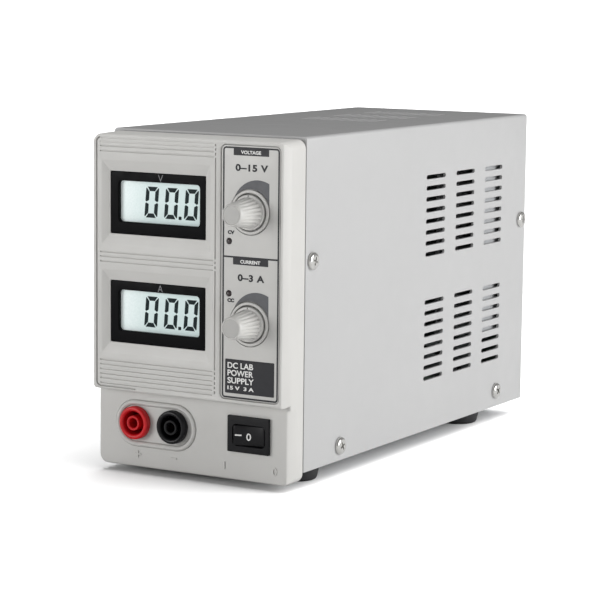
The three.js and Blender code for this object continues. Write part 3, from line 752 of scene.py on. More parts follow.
def knob_collar(channel):
    z = middle(channel + "_knob").z
    inner, outer = COLLAR_RADII
    front = -COLLAR_PROUD
    floor = CHANNEL_DEPTH + 0.4
    profile = [(inner, floor), (inner, front + 0.25), (inner + 0.25, front)]
    profile += [(outer - 0.75, front), (outer - 0.3, front + 0.12), (outer - 0.05, front + 0.45)]
    profile += [(outer, front + 0.8), (outer, floor)]
    return lathe("collar", profile, KNOB_X, z, 96)


def bead_path(radius):
    x0, x1 = (middle(s + "_socket_shell").x for s in SOCKETS)
    return stadium(x0 - 0.5, x1 + 1.0, SOCKET_Z - 0.35, radius, 20)


def bead_quirks():
    """Fine grooves that set off the band on both sides."""
    tools = []
    for radius in (BEAD["outer"] + 0.1, BEAD["inner"] - 0.1):
        inner, outer = radius - BEAD["quirk"] / 2, radius + BEAD["quirk"] / 2
        section = [(inner, 0.0), (inner, -0.6), (outer, -0.6), (outer, 0.0), (radius, BEAD["quirk"])]
        tools.append(band("quirk", [at_y(bead_path(r), LOWER_Y + y) for r, y in section]))
    return tools


def socket_bead():
    """Rounded raised band round the pair of sockets."""
    outer, inner, proud = BEAD["outer"], BEAD["inner"], BEAD["proud"]
    middle_radius, half = (outer + inner) / 2, (outer - inner) / 2
    steps = 10
    rings = []
    for k in range(steps):
        a = 2 * math.pi * k / steps
        radius = middle_radius + half * math.cos(a)
        rings.append(at_y(bead_path(radius), LOWER_Y - proud * math.sin(a)))
    return band("bead", rings)


def band(name, rings):
    """A closed band: the last ring joins the first again."""
    count = len(rings[0])
    points = [p for ring in rings for p in ring]
    faces = []
    for k in range(len(rings)):
        a, b = k * count, (k + 1) % len(rings) * count
        faces += [(a + i, a + (i + 1) % count, b + (i + 1) % count, b + i) for i in range(count)]
    return mesh_object(name, points, faces)


def moulded_marks():
    """Plus and minus under the sockets, I and O beside the switch, raised from the face."""
    y0, y1 = LOWER_Y - MARK["raise"], LOWER_Y + 0.5
    plus_x, minus_x = (middle(s + "_socket_shell").x for s in SOCKETS)
    switch = cad("power_switch_housing")
    z, arm, stroke = MARK["z"], MARK["arm"], MARK["stroke"]

    def bar(x, half_w, half_h):
        return box_solid("bar", (x - half_w, y0, z - half_h), (x + half_w, y1, z + half_h))

    plus = fuse(bar(plus_x + 0.6, arm, stroke), bar(plus_x + 0.6, stroke, arm))
    minus = bar(minus_x, arm * 0.9, stroke)
    on = bar(switch[0].x - 2.15, stroke, arm)
    off_x = switch[1].x + 2.25
    ring = [(off_x + (x - off_x) * 0.6, point_z) for x, point_z in circle(off_x, z, arm * 1.15, 32)]
    hole = [(off_x + (x - off_x) * 0.45, z + (point_z - z) * 0.68) for x, point_z in ring]
    off = cut(prism("off", ring, y0, y1), prism("hole", hole, y0 - 1, y1 + 1))
    return [plus, minus, on, off]


def bezel_block(name, bottom, radii, y_back, y_front):
    """A block with the outline of the bezel whose top rises towards the cover."""
    rings = []
    for y, inset in [(y_back, 0.0)] + rounding(y_front, EDGE):
        top = TOP_FRONT + (TOP_BACK - TOP_FRONT) * y / BEZEL_BACK
        rings.append(at_y(rounded_corners(-HALF, HALF, bottom, top, radii, inset, 10), y))
    return loft(name, rings)


def edge_tool(y_front, z0, z1):
    """Cutter for the right upright edge: a small rounding, then the side's draft."""
    wide, deep, radius = 1.7, 4.5, 0.7
    corner = HALF - wide
    edge = [(corner - radius, 0.0), (corner - radius * 0.4, 0.08), (corner, 0.3), (corner + 0.2, 0.7)]
    clear = [(HALF, deep), (HALF + 1, deep), (HALF + 1, -1.0)]
    section = [(x, y_front + y) for x, y in [(corner - radius, -1.0), *edge, *clear]]
    return loft("edge", [[(x, y, z) for x, y in section] for z in (z0, z1)])


def front_bezel():
    piece = bezel_block("bezel_shell", BEZEL_BOTTOM, [CORNER] * 4, BEZEL_BACK, LOWER_Y)
    fuse(piece, bezel_block("upper", STEP_Z, [1.6, CORNER, CORNER, 1.6], LOWER_Y + 4, 0.0))
    shoulder = rounded_corners(-HALF, HALF, BEZEL_BOTTOM, TOP_BACK, [CORNER] * 4, SEAM_DEPTH, 10)
    fuse(piece, prism("shoulder", shoulder, BEZEL_BACK - 1, BEZEL_BACK + 1))
    cut(piece, edge_tool(0.0, STEP_Z - 1, TOP_BACK + 1), edge_tool(LOWER_Y, BEZEL_BOTTOM - 1, STEP_Z - 1.5))
    fuse(piece, socket_bead())
    fuse(piece, *moulded_marks())
    inside = HALF - WALL
    past = BEZEL_BACK + 2
    cut(piece, box_solid("hollow", (-inside, FACE_WALL, STEP_Z + WALL), (inside, past, TOP_FRONT - WALL)))
    low_corner = (-inside, LOWER_Y + WALL, BEZEL_BOTTOM + WALL)
    cut(piece, box_solid("hollow", low_corner, (inside, past, STEP_Z + 3)))
    cut(piece, label_recess())
    cut(piece, *[meter_recess(c) for c in CHANNELS])
    fuse(piece, *[knob_collar(c) for c in CHANNELS])
    cut(piece, *rim_groove(), *rib_grooves())
    cut(piece, *bead_quirks())
    holes = []
    well, shaft = COLLAR_RADII[0], 4.2
    for channel in CHANNELS:
        z = middle(channel + "_knob").z
        profile = [(0, 0), (well, 0), (well, 2.7), (shaft, 2.7), (shaft, 4), (0, 4)]
        holes.append(lathe("hole", profile, KNOB_X, z, 96))
        holes.append(prism("hole", circle(LED_X, middle(led_of(channel)).z, LAMP + 0.15, 24), -1, 6))
    for socket in SOCKETS:
        holes.append(prism("hole", circle(middle(socket + "_socket_shell").x, SOCKET_Z, 6.6), 2, 9))
    low, high = cad("power_switch_housing")
    holes.append(box_solid("hole", (low.x + 0.9, 2, low.z + 0.9), (high.x - 0.9, 9, high.z - 0.9)))
    cut(piece, *holes)
    return finish_piece(piece, BEZEL, replaces=["front_bezel"], smooth=28)


bezel = front_bezel()


# ------------------------------------------------------------------ control label

LABEL_LOW, LABEL_HIGH = cad("control_label")
PRINT = 0.04                # thickness of the printed ink
PRINT_FACE = LABEL_LOW.y - PRINT
TOP_PRINT_FACE = PRINT_FACE - PRINT     # white ink lies on the dark ink
LINE = 0.72
FRAME = (17.1, 44.2, 31.4, 135.75)      # the printed frame: left, right, bottom, top
DIVIDER_Z = 90.4
TAB = {"left": 22.2, "right": 39.1, "height": 2.75, "words_x": 30.5}
BLOCK = (18.7, 42.4, 33.5, 47.8)
BLOCK_ROWS = (("DC LAB", 12.4, 2.5), ("POWER", 12.4, 2.5), ("SUPPLY", 12.8, 2.5), ("15 V  3 A", 12.8, 1.6))
BLOCK_LEFT, BLOCK_TOP_ROW, BLOCK_PITCH = 19.9, 45.2, 3.15


def frame_line(box, radius, width):
    outer = rounded_corners(*box, [radius] * 4, 0, 6)
    inner = rounded_corners(*box, [radius] * 4, width, 6)
    return [outer, inner]


def rectangle(x0, x1, z0, z1):
    return [(x0, z0), (x1, z0), (x1, z1), (x0, z1)]


def crescent(channel):
    """Grey wedge that grows from the lower left over the knob to an upright edge on the right."""
    cx, cz = KNOB_X, middle(channel + "_knob").z
    inner = COLLAR_RADII[1] + 0.4
    edge_x = cx + 9.1
    outer_x, outer_z, outer_r = cx + 3.6, cz + 1.3, 12.0
    tip = math.radians(142)
    points = []
    high = math.acos((edge_x - outer_x) / outer_r)
    low = math.atan2(cz + inner * math.sin(tip) - outer_z, cx + inner * math.cos(tip) - outer_x)
    steps = 32
    for i in range(steps + 1):
        a = high + (low - high) * i / steps
        points.append((outer_x + outer_r * math.cos(a), outer_z + outer_r * math.sin(a)))
    end = math.acos((edge_x - cx) / inner)
    for i in range(1, steps + 1):
        a = tip + (end - tip) * i / steps
        points.append((cx + inner * math.cos(a), cz + inner * math.sin(a)))
    return points


def label_film_piece():
    film = rounded_block("label_film", label_box(), [2.0] * 4, LABEL_HIGH.y, LABEL_LOW.y, 0.08)
    holes = []
    for channel in CHANNELS:
        round_knob = circle(KNOB_X, middle(channel + "_knob").z, COLLAR_RADII[1] + 0.4, 96)
        round_lamp = circle(LED_X, middle(led_of(channel)).z, LAMP + 0.1, 32)
        holes += [prism("hole", round_knob, -1, 3), prism("hole", round_lamp, -1, 3)]
    cut(film, *holes)
    finish_piece(film, LABEL, replaces=["control_label"])


def label_print():
    """Frame and divider, tabs, ranges, lamp names, the block at the foot and the crescents."""
    left, right, _, top_line = FRAME
    dark = [flat_shape("dark", frame_line(FRAME, 1.5, LINE), PRINT_FACE, PRINT)]
    bar = rectangle(left + LINE, right - LINE, DIVIDER_Z - LINE / 2, DIVIDER_Z + LINE / 2)
    dark.append(flat_shape("dark", [bar], PRINT_FACE, PRINT))
    white = []
    for words, top in (("VOLTAGE", top_line - LINE), ("CURRENT", DIVIDER_Z - LINE / 2)):
        tab = rectangle(TAB["left"], TAB["right"], top - TAB["height"], top)
        dark.append(flat_shape("dark", [tab], PRINT_FACE, PRINT))
        x, z = TAB["words_x"], top - 1.4
        white.append(lettering("white", words, x, z, 1.45, 9.6, TOP_PRINT_FACE, PRINT, 0.05))
    for words, z, width in (("0–15 V", 127.3, 15.6), ("0–3 A", 82.0, 12.8)):
        dark.append(lettering("dark", words, 30.9, z, 2.95, width, PRINT_FACE, PRINT, 0.13, 1.12))
    for words, z in (("CV", 100.5), ("CC", 72.3)):
        dark.append(lettering("dark", words, 21.2, z, 1.65, 3.3, PRINT_FACE, PRINT, 0.12))
    block = rounded_corners(*BLOCK, [0.4] * 4, 0, 3)
    dark.append(flat_shape("dark", [block], PRINT_FACE, PRINT))
    for k, (words, width, height) in enumerate(BLOCK_ROWS):
        x, z = BLOCK_LEFT + width / 2, BLOCK_TOP_ROW - BLOCK_PITCH * k
        white.append(lettering("white", words, x, z, height, width, TOP_PRINT_FACE, PRINT, 0.05))
    finish_piece(renamed(together(dark), "label_print_dark"), DARK_INK)
    finish_piece(renamed(together(white), "label_print_white"), WHITE_INK)
    grey = [flat_shape("grey", [crescent(c)], PRINT_FACE, PRINT) for c in CHANNELS]
    finish_piece(renamed(together(grey), "label_print_grey"), GREY_INK)


def renamed(obj, name):
    obj.name = name
    obj.data.name = name
    return obj


label_film_piece()
label_print()


# ------------------------------------------------------------------ meters

DIGIT = {"height": 13.1, "width": 6.5, "pitch": 9.9, "stroke": 1.85, "gap": 0.16}
SLANT = math.tan(math.radians(4.5))
WINDOW_HALF = (20.3, 8.7)
WINDOW_SHIFT = (0.5, 0.65)  # from the middle of the meter's opening


def zero_segments():
    """The six bars of a seven-segment zero, before its slant, with its lower left corner at (0, 0)."""
    w, h = DIGIT["width"], DIGIT["height"]
    s, g = DIGIT["stroke"], DIGIT["gap"]
    c = 0.55
    top = [(c + g, h), (w - c - g, h), (w - s - g * 0.6, h - s), (s + g * 0.6, h - s)]
    bottom = [(x, h - z) for x, z in top]
    waist = h / 2
    tip = 0.55
    left_upper = [(0, h - c - g), (0.3, h - c - g + 0.28), (s - 0.05, h - s - g - 0.1)]
    left_upper += [(s - 0.05, waist + tip + 0.3), (tip, waist + g), (0, waist + 0.6)]
    right_upper = [(w - x, z) for x, z in left_upper]
    left_lower = [(x, h - z) for x, z in left_upper]
    right_lower = [(w - x, z) for x, z in left_lower]
    return [top, bottom, left_upper, right_upper, left_lower, right_lower]


def slanted(points, x, z):
    return [(x + px + pz * SLANT, z + pz) for px, pz in points]


def meter(channel, unit_letter):
    frame_low, frame_high = cad(channel + "_meter_frame")
    x, z, half_w, half_h = meter_sizes(channel)
    glass_low, glass_high = cad(channel + "_display")
    window_w, window_h = WINDOW_HALF
    window_x, window_z = x + WINDOW_SHIFT[0], z + WINDOW_SHIFT[1]
    clear = 0.12
    outline = (x - half_w + clear, x + half_w - clear, z - half_h + clear, z + half_h - clear)
    name = channel + "_meter_surround"
    plate = rounded_block(name, outline, [0.6] * 4, METER_DEPTH + 2.2, METER_DEPTH, 0.25)
    flange = box_solid("flange", (frame_low.x, METER_DEPTH + 1.75, frame_low.z),
                       (frame_high.x, frame_high.y, frame_high.z))
    fuse(plate, flange)
    corners = (window_x - window_w, window_x + window_w, window_z - window_h, window_z + window_h)
    stations = [(METER_DEPTH + y, inset) for y, inset in ((-1, -0.5), (0, -0.3), (0.2, -0.06), (0.5, 0.0))]
    stations.append((glass_low.y + 3, 0.0))
    rings = [at_y(rounded_corners(*corners, [1.6] * 4, inset, 8), y) for y, inset in stations]
    cut(plate, loft("window", rings))
    grow = 0.2
    pocket_far = (glass_high.x + grow, frame_high.y + 1.7, glass_high.z + grow)
    cut(plate, box_solid("pocket", [c - grow for c in glass_low], pocket_far))
    finish_piece(plate, METER_BLACK, replaces=[channel + "_meter_frame"])

    outline = (glass_low.x, glass_high.x, glass_low.z, glass_high.z)
    glass = rounded_block(channel + "_display_glass", outline, [0.5] * 4, glass_high.y, glass_low.y, 0.15)
    face = display_face_painted_light(channel + "_display_face_painted_light", channel + "_display")
    finish_piece(glass, face, replaces=[channel + "_display"])

    ink_y = glass_low.y - 0.03
    right = window_x + window_w - 1.5
    base = window_z - DIGIT["height"] / 2 + 0.1
    loops = []
    for k in range(3):
        left = right - DIGIT["width"] - SLANT * DIGIT["height"] - k * DIGIT["pitch"]
        loops += [slanted(bar, left, base) for bar in zero_segments()]
    point = right - DIGIT["pitch"] + 0.55
    loops.append(rounded_corners(point - 0.75, point + 0.75, base - 0.1, base + 1.35, [0.25] * 4, 0, 2))
    digits = flat_shape(channel + "_digits", loops, ink_y, 0.03)
    finish_piece(digits, LCD_INK)

    unit = lettering(channel + "_unit_mark", unit_letter, x + 1.4, z + 11.2, 2.9, 2.5,
                     METER_DEPTH - 0.03, 0.03, -0.02)
    finish_piece(unit, GREY_INK_LIGHT)


meter("voltage", "V")
meter("current", "A")


# ------------------------------------------------------------------ knobs

FLUTES = 20
FLUTE_DEPTH = 0.7
KNOB_STEPS = FLUTES * 10
KNOB_NOSE, KNOB_SHOULDER = 4.8, 6.35    # radii at the front end and next to the skirt
KNOB_REACH = 11.86                      # from the CAD knob's front to the face of the skirt


def knob_ring(x, z, y, radius, depth):
    """A ring of the knob; flutes of that depth are pressed into its side."""
    ring = []
    for i in range(KNOB_STEPS):
        a = 2 * math.pi * i / KNOB_STEPS
        wave = 0.5 - 0.5 * math.cos(FLUTES * a)
        r = radius - depth * wave ** 2.4
        ring.append((x + r * math.sin(a), y, z + r * math.cos(a)))
    return ring


def control_knob(channel):
    low, high = cad(channel + "_knob")
    x, z = (low.x + high.x) / 2, (low.z + high.z) / 2
    front, back = low.y - 1.0, high.y
    skirt = (high.x - low.x) / 2
    skirt_face = low.y + KNOB_REACH
    nose, shoulder = KNOB_NOSE, KNOB_SHOULDER
    stations = [
        (back, skirt, 0.0), (skirt_face + 0.34, skirt, 0.0), (skirt_face + 0.16, skirt - 0.08, 0.0),
        (skirt_face + 0.04, skirt - 0.35, 0.0), (skirt_face, shoulder + 0.25, 0.0),
        (skirt_face - 0.06, shoulder + 0.05, 0.2), (skirt_face - 0.26, shoulder, FLUTE_DEPTH),
    ]
    body = 10
    long = skirt_face - 0.26 - (front + 1.4)
    for k in range(1, body + 1):
        t = k / body
        y = skirt_face - 0.26 - t * long
        stations.append((y, shoulder + (nose - shoulder) * t, FLUTE_DEPTH * (1 - t) ** 0.8))
    rim = ((0.75, 0.1), (0.3, 0.28), (0.06, 0.5), (0.0, 0.66), (0.06, 0.8), (0.25, 0.9), (0.3, 1.0))
    stations += [(front + back_by, nose - in_by, 0.0) for back_by, in_by in rim]
    piece = loft(channel + "_control_knob", [knob_ring(x, z, y, r, d) for y, r, d in stations])
    bore = prism("bore", circle(x, z, 3.12, 48), front + 3.0, back + 1)
    cut(piece, bore)
    finish_piece(piece, KNOB, channel + "_control", [channel + "_knob"], smooth=32)
    # The cap disc takes the darker copy of the knob plastic: painted shade on the knob's front face.
    cap_front, cap_back, cap_radius = front + 0.22, front + 0.4, nose - 1.05
    disc = [(0, cap_front), (cap_radius, cap_front), (cap_radius, cap_back), (0, cap_back)]
    cap = lathe(channel + "_knob_cap_painted_shade", disc, x, z, 64)
    finish_piece(cap, KNOB_CAP_PAINTED_SHADE, channel + "_control")
    tick = flat_shape(channel + "_knob_pointer", [rectangle(x - 0.22, x + 0.22, z + 6.55, z + 7.1)],
                      skirt_face - 0.02, 0.05)
    finish_piece(tick, DARK_INK, channel + "_control")


for name in CHANNELS:
    control_knob(name)


# ------------------------------------------------------------------ indicator lamps

def indicator(node):
    """3 mm lamp: a domed lens on a flanged body."""
    low, high = cad(node)
    x, z = (low.x + high.x) / 2, (low.z + high.z) / 2
    radius = LAMP
    tip = low.y + 0.75
    dome = [(radius * math.sin(math.radians(15 * k)), tip + radius * (1 - math.cos(math.radians(15 * k))))
            for k in range(7)]
    flange_y, flange_radius, lead = 3.5, 1.9, 0.25
    foot_y = flange_y + 1.2
    profile = dome + [(radius, flange_y), (flange_radius, flange_y), (flange_radius, foot_y), (0, foot_y)]
    piece = lathe(node + "_lens", profile, x, z, 40)
    leads = []
    for lead_x in (x - 1.27, x + 1.27):
        low_corner = (lead_x - lead, foot_y + 0.01, z - lead)
        leads.append(box_solid("lead", low_corner, (lead_x + lead, high.y, z + lead)))
    finish_piece(together([piece, *leads]), LENS, replaces=[node])


indicator("cv_led")
indicator("cc_led")


# ------------------------------------------------------------------ output sockets

def socket(name, material, slot):
    low, high = cad(name + "_socket_shell")
    x, z = (low.x + high.x) / 2, (low.z + high.z) / 2
    radius = (high.x - low.x) / 2
    front, back = low.y, high.y
    well, sleeve, bore = 5.0, 3.2, 2.1
    contact_front = 9.0
    flange_back = LOWER_Y - 0.15
    profile = [
        (2.72, back), (2.72, contact_front - 0.2), (bore, contact_front - 0.2), (bore, front + 0.5),
        (bore + 0.35, front + 0.1), (sleeve - 0.2, front + 0.1),
        (sleeve, front + 0.3), (sleeve, front + 12), (well, front + 12), (well, front + 1.3),
        (well + 0.12, front + 0.7), (well + 0.4, front + 0.25), (well + 0.85, front + 0.02),
        (radius - 0.95, front), (radius - 0.4, front + 0.14), (radius - 0.1, front + 0.45),
        (radius, front + 0.9),
        (radius, flange_back - 0.25), (radius - 0.25, flange_back), (6.35, flange_back), (6.35, back),
    ]
    shell = lathe(name + "_socket_body", profile, x, z, 96)
    finish_piece(shell, material, replaces=[name + "_socket_shell"])
    tip_back = cad(name + "_socket_contact")[1].y
    outer, inner, tail, bore_end = 2.5, 2.0, 1.4, 14
    tip = [(0, bore_end), (inner, bore_end), (inner, contact_front + 0.4), (inner + 0.2, contact_front)]
    tip += [(outer - 0.1, contact_front), (outer, contact_front + 0.15), (outer, tip_back - 4)]
    tip += [(tail, tip_back - 4), (tail, tip_back), (0, tip_back)]
    contact = lathe(name + "_socket_tip", tip, x, z, 48)
    finish_piece(contact, BRASS, replaces=[name + "_socket_contact"])


socket("positive", RED, "red_insulator")
socket("negative", BLACK, "black_insulator")


# ------------------------------------------------------------------ power switch

def switch_housing():
    low, high = cad("power_switch_housing")
    x, z = (low.x + high.x) / 2, middle("power_switch_rocker").z
    front = low.y
    outline = (low.x, high.x, low.z, high.z)
    piece = rounded_block("switch_housing", outline, [0.4] * 4, LOWER_Y - 0.12, front, 0.22)
    rim = 1.2
    body = box_solid("body", (low.x + rim, front + 0.8, low.z + rim), (high.x - rim, high.y, high.z - rim))
    fuse(piece, body)
    half_w, half_h = 7.5, 4.5
    corners = (x - half_w, x + half_w + 0.7, z - half_h, z + half_h)
    stations = ((-1, -0.4), (0, -0.2), (0.12, -0.06), (0.3, 0.0), (8.4, 0.0))
    rings = [at_y(rounded_corners(*corners, [1.9] * 4, inset, 6), front + y) for y, inset in stations]
    cut(piece, loft("well", rings))
    finish_piece(piece, SWITCH_BLACK, replaces=["power_switch_housing"])


def rocker():
    """Rocker with a slightly hollow face; its off end is pressed in."""
    joint = next(j for j in frame["joints"] if j["name"] == "power_rocker_press")
    pivot = TO_ROW.inverted() @ Vector(joint["pos_m"])
    low, high = cad("power_switch_rocker")
    half_h = (high.z - low.z) / 2
    tilt = math.radians(joint["range_deg"][1]) / 2
    half, valley, hollow, depth = 7.0, -1.9, 0.45, 4.5
    steps = 12

    def face(x):
        return valley - hollow * (x / half) ** 2

    section = [(x, face(x)) for x in (half * (2 * i / steps - 1) for i in range(steps + 1))]
    section += [(half, 0.6), (half / 2, depth), (-half / 2, depth), (-half, 0.6)]
    rings = [[(x, y, z) for x, y in section] for z in (-half_h, half_h)]
    piece = loft("switch_rocker", rings)
    soften(piece, 0.4, 3, 50)
    place = Matrix.Translation(pivot) @ Matrix.Rotation(tilt, 4, "Z")
    move(piece, place)
    finish_piece(piece, ROCKER_BLACK, "power_rocker", ["power_switch_rocker"])

    dash = flat_shape("mark", [rectangle(-1.45, 1.45, -0.3, 0.3)], -0.03, 0.04)
    ovals = ((1.05, 1.55), (0.52, 1.02))
    rings = [[(x * wide, z * tall) for x, z in circle(0, 0, 1, 32)] for wide, tall in ovals]
    zero = flat_shape("mark", rings, -0.03, 0.04)
    marks = []
    for mark, x, z in ((dash, -4.85, 0.1), (zero, -0.25, -0.45)):
        lean = -math.atan(2 * hollow * x / half ** 2)
        marks.append(move(mark, Matrix.Translation((x, face(x), z)) @ Matrix.Rotation(lean, 4, "Z")))
    printed = renamed(together(marks), "rocker_marks")
    move(printed, place)
    finish_piece(printed, WHITE_INK, "power_rocker")


switch_housing()
rocker()


# ------------------------------------------------------------------ cover

COVER_LOW, COVER_HIGH = cad("top_cover")
COVER_FRONT = COVER_LOW.y - 0.5
SHEET = 1.2
BEND = 1.5
VENT = {"length": 19.0, "height": 2.0, "row_pitch": 5.0, "rows": 8, "column_pitch": 30.0, "columns": 3}
VENT_FRONT = 123.8
SIDE_VENT_TOPS = (116.1, 59.2)


def cover_ring(y, inset=0.0):
    """The cover's U section at y, its outside drawn in by inset."""
    half, top = COVER_HIGH.x, COVER_HIGH.z
    steps = 10

    def bend(cx, start, radius):
        cz = top - BEND
        return [(cx + radius * math.cos(a), cz + radius * math.sin(a))
                for a in (math.radians(start + 90 * i / steps) for i in range(steps + 1))]

    outer_r, inner_r = BEND - inset, BEND - SHEET + inset
    outside = [(half - inset, inset)] + bend(half - BEND, 0, outer_r) + bend(BEND - half, 90, outer_r)
    outside += [(inset - half, inset)]
    inside = [(half - SHEET + inset, inset)]
    inside += bend(half - BEND, 0, inner_r) + bend(BEND - half, 90, inner_r)
    inside += [(SHEET - inset - half, inset)]
    return [(x, y, z) for x, z in outside + inside[::-1]]


def slot_loop(u0, v, length, height, steps=6):
    """(u, v) points of a round-ended slot."""
    r = height / 2
    return stadium(u0 + r, u0 + length - r, v, r, steps)


def vent_tools():
    tools = []
    half, top = COVER_HIGH.x, COVER_HIGH.z
    for column in range(VENT["columns"]):
        y = VENT_FRONT + column * VENT["column_pitch"]
        for row in range(VENT["rows"]):
            for highest in SIDE_VENT_TOPS:
                loop = slot_loop(y, highest - row * VENT["row_pitch"], VENT["length"], VENT["height"])
                for x0, x1 in ((half - 3, half + 1), (-half - 1, 3 - half)):
                    tools.append(loft("slot", [[(x, u, v) for u, v in loop] for x in (x0, x1)]))
            x = (row - (VENT["rows"] - 1) / 2) * VENT["row_pitch"]
            loop = slot_loop(y, x, VENT["length"], VENT["height"])
            tools.append(loft("slot", [[(v, u, z) for u, v in loop] for z in (top - 3, top + 1)]))
    return tools


def corner_filler(sign):
    """Tab that closes the cover's corner behind the bezel's rounder one."""
    x, z = COVER_HIGH.x - SHEET + 0.2, COVER_HIGH.z - SHEET + 0.2
    reach = 4.4
    points = [(sign * x, z - reach), (sign * x, z), (sign * (x - reach), z)]
    return prism("filler", points, COVER_FRONT + 0.15, COVER_FRONT + 0.55)


def top_lip():
    """Strip under the cover's front edge that hides the tray's bright edge behind the seam."""
    x = COVER_HIGH.x - SHEET - 4.6
    under = COVER_HIGH.z - SHEET
    return box_solid("lip", (-x, COVER_FRONT + 0.3, under - 0.95), (x, COVER_FRONT + 0.55, under + 0.2))


def cover():
    edge = 0.3
    stations = [(COVER_FRONT, 0.25), (COVER_FRONT + 0.07, 0.1), (COVER_FRONT + 0.25, 0.0),
                (COVER_HIGH.y - edge, 0.0), (COVER_HIGH.y - 0.1, 0.1), (COVER_HIGH.y, edge)]
    piece = loft("cover_sheet", [cover_ring(y, inset) for y, inset in stations])
    fuse(piece, top_lip(), *[corner_filler(sign) for sign in (-1, 1)])
    cut(piece, *vent_tools())
    holes = []
    for side in ("left", "right"):
        for place in ("front_upper", "front_lower", "back_upper", "back_lower"):
            spot = middle("cover_screw_" + side + "_" + place)
            x0, x1 = spot.x - 8, spot.x + 8
            loop = circle(spot.y, spot.z, 2.0, 24)
            holes.append(loft("hole", [[(x, u, v) for u, v in loop] for x in (x0, x1)]))
    cut(piece, *holes)
    finish_piece(piece, COAT, replaces=["top_cover"], smooth=30)


cover()


def cross_recess(depth):
    """Tapered cross that is pressed into a screw head, along y from 0 towards +depth."""
    long, short = 1.9, 0.42
    arms = []
    for upright in (False, True):
        rings = []
        for y, share in ((-1.0, 1.15), (depth * 0.5, 0.8), (depth, 0.35)):
            a, b = long * share, short * max(share, 0.7)
            if upright:
                a, b = b, a
            rings.append([(-a, y, -b), (a, y, -b), (a, y, b), (-a, y, b)])
        arms.append(loft("arm", rings))
    return fuse(*arms)


def cover_screw(node, turn):
    low, high = cad(node)
    y, z = (low.y + high.y) / 2, (low.z + high.z) / 2
    radius = (high.z - low.z) / 2
    head, stem, steps = 1.7, 1.5, 8
    profile = [(0, 0.0)]
    for k in range(1, steps + 1):
        a = math.radians(90 * k / steps)
        reach = 0.55 + 0.45 * math.sin(a) if k > 1 else 0.5
        profile.append((radius * reach, (head - 0.5) * (1 - math.cos(a)) ** 1.2))
    profile += [(radius, head - 0.15), (radius - 0.2, head), (stem, head), (stem, head + 5), (0, head + 5)]
    piece = lathe(node + "_head", profile, 0, 0, 48)
    cut(piece, cross_recess(1.4))
    move(piece, Matrix.Rotation(turn, 4, "Y"))
    outwards = 1 if low.x + high.x > 0 else -1
    move(piece, Matrix.Rotation(outwards * math.pi / 2, 4, "Z"))
    shift(piece, (high.x if outwards > 0 else low.x), y, z)
    finish_piece(piece, NICKEL, replaces=[node])


SCREW_TURNS = {"front_upper": 20, "front_lower": 65, "back_upper": 5, "back_lower": 40}
for side in ("left", "right"):
    for place, degrees in SCREW_TURNS.items():
        cover_screw("cover_screw_" + side + "_" + place, math.radians(degrees))


# ------------------------------------------------------------------ feet

def rubber_foot(node):
    """Tapered foot with a hollow underneath and a push-in stem."""
    low, high = cad(node)
    x, y = (low.x + high.x) / 2, (low.y + high.y) / 2
    ground, seat = low.z, 0.2
    hollow = [(0, 2.5), (3.8, 2.5), (4.0, 2.3), (4.0, 0.3)]
    tread = [(4.3, 0.0), (8.1, 0.0), (8.7, 0.3), (9.1, 1.0)]
    profile = [(radius, ground + up) for radius, up in hollow + tread]
    profile += [(10.4, seat - 0.7), (10.3, seat - 0.2), (9.9, seat), (2.4, seat), (2.4, 3.5), (0, high.z)]
    piece = lathe(node + "_rubber", profile, 0, 0, 64)
    move(piece, Matrix.Rotation(math.pi / 2, 4, "X"))
    shift(piece, x, y, 0)
    finish_piece(piece, RUBBER, replaces=[node])


for end in ("front", "back"):
    for side in ("left", "right"):
        rubber_foot("foot_" + end + "_" + side)


# ------------------------------------------------------------------ mains inlet

def inlet_housing():
    low, high = cad("mains_inlet")
    drawer = cad("fuse_drawer")
    x, z = (low.x + high.x) / 2, (low.z + high.z) / 2
    face = high.y
    back_panel = cad("chassis_tray")[1].y
    corners = (low.x, high.x, low.z, high.z)
    stations = [(back_panel + 0.05, 0.0), (face - 0.5, 0.0), (face - 0.15, 0.15), (face, 0.5)]
    rings = [at_y(rounded_corners(*corners, [2.0] * 4, inset, 6), y) for y, inset in stations]
    piece = loft("inlet_housing", rings)
    body_w, body_h = 13.5, 16.5
    fuse(piece, box_solid("body", (x - body_w, low.y, z - body_h), (x + body_w, back_panel + 1, z + body_h)))
    half_w, height, chamfer, middle_z = 12.0, 16.4, 5.0, z + 6.6
    bottom, top = middle_z - height / 2, middle_z + height / 2

    def mouth(grow, y):
        w, b, t = half_w + grow, bottom - grow, top + grow
        c = chamfer + 0.4 * grow
        return [(x - w + c, y, b), (x + w - c, y, b), (x + w, y, b + c), (x + w, y, t), (x - w, y, t),
                (x - w, y, b + c)]

    flare = ((0, -18), (0, -0.6), (0.4, 0), (0.8, 1))
    cut(piece, loft("cavity", [mouth(grow, face + y) for grow, y in flare]))
    slot_low, slot_high = drawer
    clear = 0.25
    cut(piece, box_solid("slot", (slot_low.x - clear, slot_low.y - 0.5, slot_low.z - clear),
                         (slot_high.x + clear, face + 1, slot_high.z + clear)))
    finish_piece(piece, INLET_BLACK, replaces=["mains_inlet"])


def inlet_pins():
    for name in ("line", "neutral", "earth"):
        low, high = cad("mains_pin_" + name)
        corners = (low.x, high.x, low.z, high.z)
        stations = [(low.y, 0.0), (high.y - 1.2, 0.0), (high.y, 0.55)]
        rings = [at_y(rounded_corners(*corners, [0.35] * 4, i, 3), y) for y, i in stations]
        finish_piece(loft("inlet_pin_" + name, rings), NICKEL, replaces=["mains_pin_" + name])


